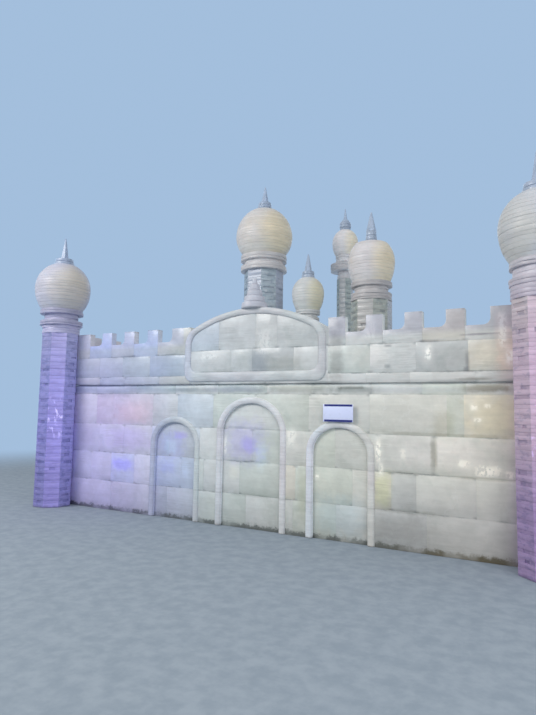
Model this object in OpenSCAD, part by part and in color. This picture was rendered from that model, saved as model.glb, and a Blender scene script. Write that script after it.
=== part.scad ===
// Ice castle: a battlemented ice-block wall with three blind arches, a deck behind it and domed towers.
// X runs along the front wall, Y runs back, Z is up. The origin is on the ground under the middle of the
// front wall. All sizes are in millimetres.

/* [Castle body] */
// Width of the castle between the side walls' outer faces
castle_w = 7720; // [6000:20:9500]
// Depth of the castle between the front and back walls' outer faces
castle_d = 4600; // [3800:50:6000]
// Height of the deck above the ground
deck_h = 2200; // [1800:20:2700]
// Thickness of the ice-block walls
wall_t = 500; // [300:10:600]
// Height of the thin slab course on top of the front wall
slab_course_h = 160; // [80:10:240]

/* [Parapets] */
// Height of the merlons' tops above the deck
parapet_h = 946; // [700:2:1200]
// Depth of the notches between the merlons
notch_h = 226; // [120:1:400]
// Width of a notch
notch_w = 305; // [220:5:400]
// Width of a merlon
merlon_w = 235; // [150:5:350]
// Width of the merlon at the outer end of a front parapet
end_merlon_w = 418; // [200:2:540]
// Radius at the bottom of a notch on its right-hand side, seen from outside
notch_r = 90; // [30:5:110]
// Radius at the bottom of a notch on its left-hand side
notch_left_r = 25; // [5:5:60]
// Thickness of the parapets
parapet_t = 120; // [80:5:200]
// How far the parapets stand proud of the walls' faces
parapet_reach = 40; // [5:5:70]

/* [Pediment] */
// Width of the pediment panel
pediment_w = 2590; // [1800:10:3200]
// Height of the pediment's crown above the deck
pediment_h = 1190; // [900:5:1500]
// Rise of the pediment's curved top above its shoulders
pediment_rise = 392; // [200:2:600]
// Thickness of the pediment panel
pediment_t = 180; // [100:5:300]
// How far the left front parapet runs past the shoulder of the pediment
left_lap = 130; // [0:5:150]
// Width of the frame band's sides
frame_w = 120; // [60:5:160]
// Width of the frame band along the curved top
frame_top_w = 100; // [60:5:160]
// Width of the frame band along the bottom
frame_bottom_w = 155; // [60:5:200]
// Distance of the frame band from the panel's sides
frame_side = 30; // [0:5:80]
// Height of the frame band's lower edge above the deck
frame_foot = 35; // [0:5:80]
// Radius of the frame band's outer bottom corners
frame_r = 150; // [40:5:250]
// Radius of the frame band's inner bottom corners
frame_inner_r = 150; // [60:5:260]
// Radius of the frame band's outer shoulders
frame_shoulder_r = 300; // [100:10:400]
// Radius of the frame band's inner shoulders
frame_inner_shoulder_r = 240; // [60:10:300]
// How far the frame band stands proud of the panel
frame_reach = 45; // [15:5:80]
// Width of the pinnacle's lowest slab
pinnacle_w = 420; // [240:10:500]
// Width of the pinnacle's top slab
pinnacle_top_w = 90; // [60:5:160]
// Height of the pinnacle
pinnacle_h = 490; // [300:5:800]
// Number of slabs in the pinnacle
pinnacle_slabs = 5; // [3:1:8]

/* [Blind arches] */
// Outer width of the middle arch over its moulding
middle_arch_w = 1234; // [900:2:1500]
// Distance of the middle arch's crown below the slab course
middle_arch_drop = 45; // [20:5:300]
// Rise of the middle arch above its springing
middle_arch_rise = 545; // [400:5:700]
// Outer width of a side arch over its moulding
side_arch_w = 1022; // [700:2:1200]
// Distance of a side arch's crown below the slab course
side_arch_drop = 375; // [100:5:600]
// Rise of a side arch above its springing
side_arch_rise = 450; // [300:10:550]
// Distance of a side arch's axis from the middle
side_arch_x = 1459; // [1300:1:2200]
// Width of the mouldings
moulding_w = 100; // [60:2:140]
// How far the mouldings stand proud of the wall
moulding_reach = 50; // [20:5:80]
// Depth of the recess behind each arch
recess_t = 50; // [20:5:120]
// Width of the notice plate over the right arch
plate_w = 450; // [300:10:600]
// Height of the notice plate
plate_h = 250; // [150:10:320]
// Thickness of the notice plate
plate_t = 15; // [6:1:30]
// How far the notice plate hangs down over the arch's crown
plate_lap = 15; // [5:5:90]

/* [Corner towers] */
// How deep the parapet's corner bites into a corner tower's flank
corner_bite = 64; // [58:1:90]
// How much farther a corner tower stands in front of the castle than beside it
corner_lead = 24; // [-100:2:100]
// Width of the octagonal shaft across its flats
corner_shaft_w = 628; // [500:4:760]
// Height of the shaft's top above the merlons' tops
corner_shaft_rise = 0; // [0:5:600]
// Width of the neck slab on the shaft
corner_neck_w = 690; // [640:5:840]
// Height of the neck slab
corner_neck_h = 156; // [80:2:240]
// Width of the left collar's rings
corner_ring_w = 786; // [740:2:980]
// Height of the collar's lower ring
corner_ring_h = 86; // [70:2:200]
// Width of the gap between the rings
corner_gap_w = 630; // [600:10:720]
// Height of the gap between the rings
corner_gap_h = 124; // [40:2:180]
// Height of the collar's upper ring
corner_top_ring_h = 86; // [70:2:200]
// Width of the left dome
corner_dome_w = 1000; // [860:10:1250]
// Width of the left dome's foot
corner_dome_foot_w = 720; // [600:2:800]
// Height of both domes' widest place
corner_dome_belly_h = 410; // [330:5:480]
// Width of both domes' flat top
corner_dome_top_w = 430; // [340:10:600]
// Height of the left dome
corner_dome_h = 870; // [700:10:1150]
// Width of the right collar's rings
corner_right_ring_w = 710; // [680:2:980]
// Width of the right dome
corner_right_dome_w = 920; // [800:10:1250]
// Width of the right dome's foot
corner_right_dome_foot_w = 660; // [560:2:800]
// Height of the right dome
corner_right_dome_h = 830; // [700:10:1150]
// Width of the cap on the dome
corner_cap_w = 360; // [240:2:500]
// Height of the cap
corner_cap_h = 125; // [60:5:160]
// Width of the spire's foot
corner_spire_w = 155; // [80:5:220]
// Height of the spire above the cap
corner_spire_h = 410; // [240:10:520]

/* [Rear left tower] */
// Distance of the two rear towers' axes from the middle
rear_x = 1150; // [1000:10:2000]
// Distance of the two rear towers' axes behind the front wall's face
rear_y = 2350; // [1600:10:2800]
// Width of the shaft across its flats
rear_left_shaft_w = 754; // [560:2:900]
// Height of the shaft above the deck
rear_left_shaft_h = 2417; // [1800:1:2900]
// Width of the collar's rings
rear_left_ring_w = 964; // [820:2:1160]
// Height of the collar's lower ring
rear_left_ring_h = 105; // [80:1:180]
// Width of the gap between the rings
rear_left_gap_w = 800; // [600:10:800]
// Height of the gap between the rings
rear_left_gap_h = 98; // [30:1:120]
// Height of the collar's upper ring
rear_left_top_ring_h = 120; // [80:1:180]
// Width of the dome
rear_left_dome_w = 1166; // [900:2:1420]
// Width of the dome's foot
rear_left_dome_foot_w = 800; // [600:2:880]
// Height of the dome's widest place
rear_left_dome_belly_h = 400; // [380:5:600]
// Width of the dome's flat top
rear_left_dome_top_w = 540; // [340:10:700]
// Height of the dome
rear_left_dome_h = 960; // [800:10:1300]
// Width of the cap on the dome
rear_left_cap_w = 324; // [240:2:500]
// Height of the cap
rear_left_cap_h = 190; // [60:5:240]
// Width of the spire's foot
rear_left_spire_w = 160; // [80:5:220]
// Height of the spire above the cap
rear_left_spire_h = 350; // [240:10:520]

/* [Rear right tower] */
// Width of the shaft across its flats
rear_right_shaft_w = 700; // [560:5:860]
// Height of the shaft above the deck
rear_right_shaft_h = 1615; // [1300:5:2400]
// Width of the collar's rings
rear_right_ring_w = 776; // [720:2:940]
// Height of the collar's lower ring
rear_right_ring_h = 140; // [80:1:200]
// Width of the gap between the rings
rear_right_gap_w = 640; // [460:10:700]
// Height of the gap between the rings
rear_right_gap_h = 120; // [40:1:140]
// Height of the collar's upper ring
rear_right_top_ring_h = 85; // [60:1:140]
// Width of the dome
rear_right_dome_w = 866; // [720:2:1100]
// Width of the dome's foot
rear_right_dome_foot_w = 668; // [500:2:700]
// Height of the dome's widest place
rear_right_dome_belly_h = 400; // [280:5:480]
// Width of the dome's flat top
rear_right_dome_top_w = 600; // [340:10:640]
// Height of the dome
rear_right_dome_h = 740; // [600:10:1100]
// Width of the cap on the dome
rear_right_cap_w = 222; // [200:2:330]
// Height of the cap
rear_right_cap_h = 245; // [60:5:300]
// Width of the spire's foot
rear_right_spire_w = 190; // [80:5:200]
// Height of the spire above the cap
rear_right_spire_h = 375; // [240:5:520]

/* [Middle turret] */
// Distance of the middle turret's axis behind the front wall's face
middle_y = 2050; // [1500:10:2600]
// Width of the shaft across its flats
middle_shaft_w = 380; // [280:10:440]
// Height of the shaft above the deck
middle_shaft_h = 1250; // [1000:10:2000]
// Width of the collar's rings
middle_ring_w = 480; // [450:10:580]
// Height of the collar's lower ring
middle_ring_h = 90; // [60:2:140]
// Width of the gap between the rings
middle_gap_w = 400; // [280:10:430]
// Height of the gap between the rings
middle_gap_h = 60; // [30:2:100]
// Height of the collar's upper ring
middle_top_ring_h = 80; // [60:2:140]
// Width of the dome
middle_dome_w = 614; // [500:2:760]
// Width of the dome's foot
middle_dome_foot_w = 426; // [320:2:480]
// Height of the dome's widest place
middle_dome_belly_h = 340; // [200:5:400]
// Width of the dome's flat top
middle_dome_top_w = 260; // [200:10:400]
// Height of the dome
middle_dome_h = 630; // [450:10:800]
// Width of the cap on the dome
middle_cap_w = 250; // [180:2:360]
// Height of the cap
middle_cap_h = 130; // [50:5:180]
// Width of the spire's foot
middle_spire_w = 150; // [80:5:170]
// Height of the spire above the cap
middle_spire_h = 340; // [200:10:480]

/* [Back turret] */
// Distance of the back turret's axis in front of the back wall's outer face
back_gap_y = 600; // [450:10:1000]
// Width of the shaft across its flats
back_shaft_w = 346; // [280:2:440]
// Height of the shaft above the deck
back_shaft_h = 2510; // [2000:10:3000]
// Width of the neck slab on the shaft
back_neck_w = 360; // [280:10:440]
// Height of the neck slab
back_neck_h = 170; // [60:5:220]
// Width of the collar's lower ring
back_ring_w = 660; // [480:10:740]
// Height of the collar's lower ring
back_ring_h = 160; // [80:5:220]
// Height of the gap between the rings
back_gap_h = 50; // [30:5:100]
// Width of the collar's upper ring
back_top_ring_w = 420; // [380:5:520]
// Height of the collar's upper ring
back_top_ring_h = 150; // [80:5:180]
// Width of the dome
back_dome_w = 576; // [500:2:720]
// Width of the dome's foot
back_dome_foot_w = 422; // [320:2:480]
// Height of the dome's widest place
back_dome_belly_h = 285; // [200:5:400]
// Width of the dome's flat top
back_dome_top_w = 270; // [200:5:400]
// Height of the dome
back_dome_h = 580; // [450:10:800]
// Width of the small bulb on the dome
back_bulb_w = 262; // [190:2:320]
// Height of the small bulb
back_bulb_h = 250; // [150:10:320]
// Width of the spire's foot
back_spire_w = 90; // [60:5:120]
// Height of the spire
back_spire_h = 260; // [160:10:400]

/* [Hidden] */

$fn = 96;
octagon_fn = 8;
// How far a cutting shape runs past the face it opens
cut_past = 10;
curve_steps = 36;
corner_steps = 8;
dome_steps = 14;

ice = "#d9e6e8";
clear_ice = "#c4d8e0";
frosted_ice = "#eef1ee";
packed_snow = "#e6ebf0";
plate_white = "#f4f6fa";

// Planes of the castle body
front_y = -wall_t / 2;
back_face_y = front_y + castle_d;
half_w = castle_w / 2;
wall_top = deck_h - slab_course_h;

// Planes of the parapets
parapet_half = half_w + parapet_reach;
parapet_front_y = front_y - parapet_reach;
parapet_inner_front_y = parapet_front_y + parapet_t;
parapet_back_y = back_face_y + parapet_reach;
parapet_inner_back_y = parapet_back_y - parapet_t;
parapet_top = deck_h + parapet_h;
pitch = notch_w + merlon_w;
right_run = parapet_half - pediment_w / 2;
left_run = right_run + left_lap;
side_run = parapet_inner_back_y - parapet_inner_front_y;
back_run = 2 * parapet_half;

// Crown of the pediment, and radius and centre of its curved top
pediment_crown = deck_h + pediment_h;
pediment_half = pediment_w / 2;
pediment_r = (pow(pediment_half, 2) + pow(pediment_rise, 2)) / (2 * pediment_rise);
pediment_centre_z = pediment_crown - pediment_r;

// Crowns of the arches
middle_arch_h = wall_top - middle_arch_drop;
side_arch_h = wall_top - side_arch_drop;

// Axes and levels of the corner towers, which touch the parapets' front corners
corner_out = ((corner_shaft_w / 2 - corner_bite) * sqrt(2) - corner_lead) / 2;
corner_x = parapet_half + corner_out;
corner_y = parapet_front_y - corner_out - corner_lead;
corner_shaft_h = parapet_top + corner_shaft_rise;
corner_collar_h = corner_neck_h + corner_ring_h + corner_gap_h + corner_top_ring_h;

// Levels of the towers on the deck, above the deck
rear_left_collar_h = rear_left_ring_h + rear_left_gap_h + rear_left_top_ring_h;
rear_left_dome_z = rear_left_shaft_h + rear_left_collar_h;
rear_right_collar_h = rear_right_ring_h + rear_right_gap_h + rear_right_top_ring_h;
rear_right_dome_z = rear_right_shaft_h + rear_right_collar_h;
middle_collar_h = middle_ring_h + middle_gap_h + middle_top_ring_h;
middle_dome_z = middle_shaft_h + middle_collar_h;
back_collar_h = back_neck_h + back_ring_h + back_gap_h + back_top_ring_h;
back_dome_z = back_shaft_h + back_collar_h;
back_y = castle_d - back_gap_y;

// Shape of the back turret's bulb, and of all caps and spires
bulb_foot_share = 0.72;
bulb_belly_share = 0.46;
spire_tip_share = 0.15;
bevel_share = 0.22;

function notch_total(run, first_w) = floor((run - first_w) / pitch);

// Width of both end merlons that centres the notches in a run
function centred_end(run) =
  let (count = notch_total(run, merlon_w))
  (run - count * notch_w - (count - 1) * merlon_w) / 2;

// Width of the merlon beside the pediment, left over by the rest of a front parapet
function inner_end(run) =
  let (count = notch_total(run, end_merlon_w))
  run - end_merlon_w - count * notch_w - (count - 1) * merlon_w;

// Points of a half-ellipse from its right foot over its top to its left foot
function arc_top(half, foot, rise) =
  [for (i = [0 : curve_steps]) let (a = 180 * i / curve_steps) [half * cos(a), foot + rise * sin(a)]];

// Points on a circle from angle first to angle last
function circle_points(x, z, r, first, last) =
  [for (i = [0 : curve_steps]) let (a = first + (last - first) * i / curve_steps) [x + r * cos(a), z + r * sin(a)]];

// Points of a round shoulder, without the one where it meets the curved top; side as below
function round_shoulder(side, x, z, r, lean) =
  [for (i = [0 : corner_steps - 1]) let (a = lean * (side > 0 ? i : corner_steps - 1 - i) / corner_steps)
    [side * (x + r * cos(a)), z + r * sin(a)]];

// Points of a round bottom corner; side is 1 for the right one and -1 for the left one
function round_corner(side, half, bottom, r) =
  [for (i = [0 : corner_steps]) let (a = 90 * i / corner_steps)
    side > 0 ? [half - r + r * sin(a), bottom + r - r * cos(a)]
      : [-half + r - r * cos(a), bottom + r - r * sin(a)]];

// Radius of a dome at height z: one elliptic curve below its widest place and one above it
function dome_r(z, w, foot_w, belly_h, top_w, h) =
  let (below = belly_h / sqrt(1 - pow(foot_w / w, 2)))
  let (above = (h - belly_h) / sqrt(1 - pow(top_w / w, 2)))
  w / 2 * sqrt(1 - pow((z - belly_h) / (z < belly_h ? below : above), 2));

// Outline points of a bevelled ring of width w that stands from z to z + h
function ring_points(w, z, h) =
  let (bevel = h * bevel_share)
  [[w / 2 - bevel, z], [w / 2, z + bevel], [w / 2, z + h - bevel], [w / 2 - bevel, z + h]];

// Walls and deck

module wall_block(x0, x1, y0, y1, z0, z1) {
  translate([x0, y0, z0]) cube([x1 - x0, y1 - y0, z1 - z0]);
}

module arch_shape(w, h, rise, below) {
  half = w / 2;
  spring = h - rise;
  polygon(concat([[-half, -below], [half, -below]], arc_top(half, spring, rise)));
}

module arch_recess(x, w, h, rise) {
  translate([x, front_y + recess_t, 0]) rotate([90, 0, 0]) linear_extrude(height = recess_t + cut_past)
    arch_shape(w - 2 * moulding_w, h - moulding_w, rise - moulding_w, cut_past);
}

module front_wall() {
  color(ice) difference() {
    wall_block(-half_w, half_w, front_y, front_y + wall_t, 0, wall_top);
    arch_recess(-side_arch_x, side_arch_w, side_arch_h, side_arch_rise);
    arch_recess(0, middle_arch_w, middle_arch_h, middle_arch_rise);
    arch_recess(side_arch_x, side_arch_w, side_arch_h, side_arch_rise);
  }
}

module front_slab_course() {
  color(ice) wall_block(-half_w, half_w, front_y, front_y + wall_t, wall_top, deck_h);
}

module side_wall(side) {
  x0 = side < 0 ? -half_w : half_w - wall_t;
  color(ice) wall_block(x0, x0 + wall_t, front_y + wall_t, back_face_y - wall_t, 0, deck_h);
}

module back_wall() {
  color(ice) wall_block(-half_w, half_w, back_face_y - wall_t, back_face_y, 0, deck_h);
}

module deck_fill() {
  color(packed_snow) wall_block(-half_w + wall_t, half_w - wall_t,
    front_y + wall_t, back_face_y - wall_t, 0, deck_h);
}

// Parapets

module notch_shape() {
  translate([0, notch_r]) square([notch_w, notch_h - notch_r + cut_past]);
  translate([notch_left_r, 0]) square([notch_w - notch_left_r - notch_r, notch_h]);
  translate([0, notch_left_r]) square([notch_w / 2, notch_h - notch_left_r]);
  translate([notch_left_r, notch_left_r]) circle(notch_left_r);
  translate([notch_w - notch_r, notch_r]) circle(notch_r);
}

// A parapet from x = 0 to x = run on z = 0, with its outer face at y = 0; the first merlon is first_w wide
module parapet_run(run, first_w, count) {
  translate([0, parapet_t, 0]) rotate([90, 0, 0]) linear_extrude(height = parapet_t)
    difference() {
      square([run, parapet_h]);
      for (i = [0 : count - 1])
        translate([first_w + i * pitch, parapet_h - notch_h]) notch_shape();
    }
}

module front_parapet_left() {
  color(ice) translate([-parapet_half, parapet_front_y, deck_h])
    parapet_run(left_run, end_merlon_w, notch_total(left_run, end_merlon_w));
}

module front_parapet_right() {
  color(ice) translate([pediment_half, parapet_front_y, deck_h])
    parapet_run(right_run, inner_end(right_run), notch_total(right_run, end_merlon_w));
}

module side_parapet_left() {
  color(ice) translate([-parapet_half, parapet_inner_back_y, deck_h]) rotate([0, 0, -90])
    parapet_run(side_run, centred_end(side_run), notch_total(side_run, merlon_w));
}

module side_parapet_right() {
  color(ice) translate([parapet_half, parapet_inner_front_y, deck_h]) rotate([0, 0, 90])
    parapet_run(side_run, centred_end(side_run), notch_total(side_run, merlon_w));
}

module back_parapet() {
  color(ice) translate([parapet_half, parapet_back_y, deck_h]) rotate([0, 0, 180])
    parapet_run(back_run, centred_end(back_run), notch_total(back_run, merlon_w));
}

// Pediment

// The panel's outline; lap is how much of its left side is left out
module panel_shape(lap) {
  left = pediment_half - lap;
  polygon(concat(
    [[-left, deck_h], [pediment_half, deck_h]],
    circle_points(0, pediment_centre_z, pediment_r,
      acos(pediment_half / pediment_r), 180 - acos(left / pediment_r))
  ));
}

module pediment_panel() {
  color(ice) translate([0, parapet_front_y + pediment_t, 0]) rotate([90, 0, 0])
    linear_extrude(height = pediment_t) panel_shape(left_lap);
}

module frame_shape(half, bottom, top_r, r, shoulder_r) {
  shoulder_x = half - shoulder_r;
  rise = sqrt(pow(top_r - shoulder_r, 2) - pow(shoulder_x, 2));
  lean = atan2(rise, shoulder_x);
  shoulder_z = pediment_centre_z + rise;
  polygon(concat(
    round_corner(1, half, bottom, r),
    round_shoulder(1, shoulder_x, shoulder_z, shoulder_r, lean),
    circle_points(0, pediment_centre_z, top_r, lean, 180 - lean),
    round_shoulder(-1, shoulder_x, shoulder_z, shoulder_r, lean),
    round_corner(-1, half, bottom, r)
  ));
}

module pediment_frame() {
  half = pediment_half - frame_side;
  bottom = deck_h + frame_foot;
  color(frosted_ice) translate([0, parapet_front_y, 0]) rotate([90, 0, 0])
    linear_extrude(height = frame_reach) difference() {
      frame_shape(half, bottom, pediment_r, frame_r, frame_shoulder_r);
      frame_shape(half - frame_w, bottom + frame_bottom_w, pediment_r - frame_top_w,
        frame_inner_r, frame_inner_shoulder_r);
    }
}

// The pinnacle is cut to sit on the curved top of the panel and the frame band
module pediment_pinnacle() {
  seat = pediment_centre_z + sqrt(pow(pediment_r, 2) - pow(pinnacle_w / 2, 2));
  slab_h = (pediment_crown + pinnacle_h - seat) / pinnacle_slabs;
  step = (pinnacle_w - pinnacle_top_w) / (pinnacle_slabs - 1) / 2;
  color(frosted_ice) difference() {
    translate([0, parapet_front_y + pediment_t / 2, seat])
      for (i = [0 : pinnacle_slabs - 1])
        cylinder(h = (i + 1) * slab_h, r = pinnacle_w / 2 - i * step);
    translate([0, parapet_front_y + pediment_t, 0]) rotate([90, 0, 0])
      linear_extrude(height = pediment_t + frame_reach) panel_shape(0);
  }
}

// Blind arches

module arch_moulding(x, w, h, rise) {
  color(frosted_ice) translate([x, front_y, 0]) rotate([90, 0, 0])
    linear_extrude(height = moulding_reach) difference() {
      arch_shape(w, h, rise, 0);
      arch_shape(w - 2 * moulding_w, h - moulding_w, rise - moulding_w, cut_past);
    }
}

module notice_plate() {
  face_y = front_y - moulding_reach;
  z0 = side_arch_h - plate_lap;
  color(plate_white) wall_block(side_arch_x - plate_w / 2, side_arch_x + plate_w / 2,
    face_y - plate_t, face_y, z0, z0 + plate_h);
}

// Towers

module octagon_shaft(w, h) {
  rotate([0, 0, 180 / octagon_fn])
    cylinder(h = h, r = w / 2 / cos(180 / octagon_fn), $fn = octagon_fn);
}

// A collar: neck slab (left out where neck_h is 0), lower ring, gap and upper ring
module collar_shape(neck_w, neck_h, ring_w, ring_h, gap_w, gap_h, top_w, top_h) {
  gap_z = neck_h + ring_h;
  top_z = gap_z + gap_h;
  rotate_extrude() polygon(concat(
    [[0, 0]],
    neck_h > 0 ? [[neck_w / 2, 0], [neck_w / 2, neck_h]] : [],
    ring_points(ring_w, neck_h, ring_h),
    [[gap_w / 2, gap_z], [gap_w / 2, top_z]],
    ring_points(top_w, top_z, top_h),
    [[0, top_z + top_h]]
  ));
}

module dome_shape(w, foot_w, belly_h, top_w, h) {
  rotate_extrude() polygon(concat(
    [[0, 0]],
    [for (i = [0 : dome_steps]) let (z = h * i / dome_steps) [dome_r(z, w, foot_w, belly_h, top_w, h), z]],
    [[0, h]]
  ));
}

module spire_shape(cap_w, cap_h, spire_w, spire_h) {
  rotate_extrude() polygon(concat(
    [[0, 0]],
    ring_points(cap_w, 0, cap_h),
    [[spire_w / 2, cap_h], [spire_w / 2 * spire_tip_share, cap_h + spire_h], [0, cap_h + spire_h]]
  ));
}

// Corner towers

module at_corner(side, z) {
  translate([side * corner_x, corner_y, z]) children();
}

module corner_shaft(side) {
  color(clear_ice) difference() {
    at_corner(side, 0) octagon_shaft(corner_shaft_w, corner_shaft_h);
    wall_block(-half_w, half_w, front_y, back_face_y, -cut_past, deck_h + cut_past);
    wall_block(-parapet_half, parapet_half, parapet_front_y, parapet_back_y, deck_h, parapet_top);
  }
}

module corner_collar(side, ring_w) {
  color(clear_ice) at_corner(side, corner_shaft_h)
    collar_shape(corner_neck_w, corner_neck_h, ring_w, corner_ring_h,
      corner_gap_w, corner_gap_h, ring_w, corner_top_ring_h);
}

module corner_dome(side, w, foot_w, h) {
  color(frosted_ice) at_corner(side, corner_shaft_h + corner_collar_h)
    dome_shape(w, foot_w, corner_dome_belly_h, corner_dome_top_w, h);
}

module corner_spire(side, dome_h) {
  color(clear_ice) at_corner(side, corner_shaft_h + corner_collar_h + dome_h)
    spire_shape(corner_cap_w, corner_cap_h, corner_spire_w, corner_spire_h);
}

// Towers on the deck

module on_deck(x, behind, z) {
  translate([x, front_y + behind, deck_h + z]) children();
}

module rear_left_shaft() {
  color(clear_ice) on_deck(-rear_x, rear_y, 0) octagon_shaft(rear_left_shaft_w, rear_left_shaft_h);
}

module rear_left_collar() {
  color(clear_ice) on_deck(-rear_x, rear_y, rear_left_shaft_h)
    collar_shape(0, 0, rear_left_ring_w, rear_left_ring_h,
      rear_left_gap_w, rear_left_gap_h, rear_left_ring_w, rear_left_top_ring_h);
}

module rear_left_dome() {
  color(frosted_ice) on_deck(-rear_x, rear_y, rear_left_dome_z)
    dome_shape(rear_left_dome_w, rear_left_dome_foot_w, rear_left_dome_belly_h,
      rear_left_dome_top_w, rear_left_dome_h);
}

module rear_left_spire() {
  color(clear_ice) on_deck(-rear_x, rear_y, rear_left_dome_z + rear_left_dome_h)
    spire_shape(rear_left_cap_w, rear_left_cap_h, rear_left_spire_w, rear_left_spire_h);
}

module rear_right_shaft() {
  color(clear_ice) on_deck(rear_x, rear_y, 0) octagon_shaft(rear_right_shaft_w, rear_right_shaft_h);
}

module rear_right_collar() {
  color(clear_ice) on_deck(rear_x, rear_y, rear_right_shaft_h)
    collar_shape(0, 0, rear_right_ring_w, rear_right_ring_h,
      rear_right_gap_w, rear_right_gap_h, rear_right_ring_w, rear_right_top_ring_h);
}

module rear_right_dome() {
  color(frosted_ice) on_deck(rear_x, rear_y, rear_right_dome_z)
    dome_shape(rear_right_dome_w, rear_right_dome_foot_w, rear_right_dome_belly_h,
      rear_right_dome_top_w, rear_right_dome_h);
}

module rear_right_spire() {
  color(clear_ice) on_deck(rear_x, rear_y, rear_right_dome_z + rear_right_dome_h)
    spire_shape(rear_right_cap_w, rear_right_cap_h, rear_right_spire_w, rear_right_spire_h);
}

module middle_turret_shaft() {
  color(clear_ice) on_deck(0, middle_y, 0) octagon_shaft(middle_shaft_w, middle_shaft_h);
}

module middle_turret_collar() {
  color(clear_ice) on_deck(0, middle_y, middle_shaft_h)
    collar_shape(0, 0, middle_ring_w, middle_ring_h,
      middle_gap_w, middle_gap_h, middle_ring_w, middle_top_ring_h);
}

module middle_turret_dome() {
  color(frosted_ice) on_deck(0, middle_y, middle_dome_z)
    dome_shape(middle_dome_w, middle_dome_foot_w, middle_dome_belly_h,
      middle_dome_top_w, middle_dome_h);
}

module middle_turret_spire() {
  color(clear_ice) on_deck(0, middle_y, middle_dome_z + middle_dome_h)
    spire_shape(middle_cap_w, middle_cap_h, middle_spire_w, middle_spire_h);
}

module back_turret_shaft() {
  color(clear_ice) on_deck(0, back_y, 0) octagon_shaft(back_shaft_w, back_shaft_h);
}

module back_turret_collar() {
  color(clear_ice) on_deck(0, back_y, back_shaft_h)
    collar_shape(back_neck_w, back_neck_h, back_ring_w, back_ring_h,
      back_neck_w, back_gap_h, back_top_ring_w, back_top_ring_h);
}

module back_turret_dome() {
  color(frosted_ice) on_deck(0, back_y, back_dome_z)
    dome_shape(back_dome_w, back_dome_foot_w, back_dome_belly_h,
      back_dome_top_w, back_dome_h);
}

module back_turret_spire() {
  color(clear_ice) on_deck(0, back_y, back_dome_z + back_dome_h) {
    dome_shape(back_bulb_w, back_bulb_w * bulb_foot_share, back_bulb_h * bulb_belly_share,
      back_spire_w, back_bulb_h);
    translate([0, 0, back_bulb_h])
      cylinder(h = back_spire_h, r1 = back_spire_w / 2, r2 = back_spire_w / 2 * spire_tip_share);
  }
}

front_wall();
side_wall(-1);  // left_wall
side_wall(1);  // right_wall
back_wall();
deck_fill();
front_slab_course();
front_parapet_left();
front_parapet_right();
side_parapet_left();
side_parapet_right();
back_parapet();
pediment_panel();
pediment_frame();
pediment_pinnacle();
arch_moulding(-side_arch_x, side_arch_w, side_arch_h, side_arch_rise);  // arch_moulding_left
arch_moulding(0, middle_arch_w, middle_arch_h, middle_arch_rise);  // arch_moulding_middle
arch_moulding(side_arch_x, side_arch_w, side_arch_h, side_arch_rise);  // arch_moulding_right
notice_plate();
corner_shaft(-1);  // corner_left_shaft
corner_collar(-1, corner_ring_w);  // corner_left_collar
corner_dome(-1, corner_dome_w, corner_dome_foot_w, corner_dome_h);  // corner_left_dome
corner_spire(-1, corner_dome_h);  // corner_left_spire
corner_shaft(1);  // corner_right_shaft
corner_collar(1, corner_right_ring_w);  // corner_right_collar
corner_dome(1, corner_right_dome_w, corner_right_dome_foot_w, corner_right_dome_h);  // corner_right_dome
corner_spire(1, corner_right_dome_h);  // corner_right_spire
rear_left_shaft();
rear_left_collar();
rear_left_dome();
rear_left_spire();
rear_right_shaft();
rear_right_collar();
rear_right_dome();
rear_right_spire();
middle_turret_shaft();
middle_turret_collar();
middle_turret_dome();
middle_turret_spire();
back_turret_shaft();
back_turret_collar();
back_turret_dome();
back_turret_spire();
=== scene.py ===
import bpy
import bmesh
import math
import random
import numpy as np
from mathutils import Matrix, Vector


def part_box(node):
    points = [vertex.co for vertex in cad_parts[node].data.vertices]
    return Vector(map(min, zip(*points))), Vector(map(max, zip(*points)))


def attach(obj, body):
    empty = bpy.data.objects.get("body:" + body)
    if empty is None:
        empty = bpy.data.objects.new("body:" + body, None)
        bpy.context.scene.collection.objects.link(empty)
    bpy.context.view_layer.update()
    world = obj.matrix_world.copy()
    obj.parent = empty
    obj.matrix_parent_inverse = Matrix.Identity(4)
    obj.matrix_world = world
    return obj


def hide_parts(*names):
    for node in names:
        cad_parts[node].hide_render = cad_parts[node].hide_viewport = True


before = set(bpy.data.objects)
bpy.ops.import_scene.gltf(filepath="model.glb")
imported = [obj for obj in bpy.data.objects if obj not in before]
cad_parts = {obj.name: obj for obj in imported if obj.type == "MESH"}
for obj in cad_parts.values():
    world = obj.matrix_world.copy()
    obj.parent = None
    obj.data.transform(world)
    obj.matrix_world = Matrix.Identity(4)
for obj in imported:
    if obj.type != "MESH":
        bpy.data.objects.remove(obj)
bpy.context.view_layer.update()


# Facts of the CAD model, read from its nodes

def lo_hi(node):
    lo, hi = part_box(node)
    return Vector(lo), Vector(hi)


WALL_LO, WALL_HI = lo_hi("front_wall")
LEFT_LO, LEFT_HI = lo_hi("left_wall")
PANEL_LO, PANEL_HI = lo_hi("pediment_panel")
P_HALF = PANEL_HI.x
FRAME_LO, FRAME_HI = lo_hi("pediment_frame")
HALF_W = WALL_HI.x
FRONT_Y = WALL_LO.y
BACK_Y = lo_hi("back_wall")[1].y
WALL_T = 0.5           # how deep the blocks go; the arch fields' blocks go less deep
FIELD_T = 0.44
WALL_TOP = WALL_HI.z
DECK = lo_hi("front_slab_course")[1].z
DECK_ICE = DECK - 0.006    # the ice of the walls ends a little under the deck
COURSES = [0.0, 0.5, 1.0, 1.5, WALL_TOP]

CUT_BEVEL, SLAB_BEVEL, WORN_BEVEL, MERLON_BEVEL = 0.001, 0.0012, 0.005, 0.0045

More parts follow.
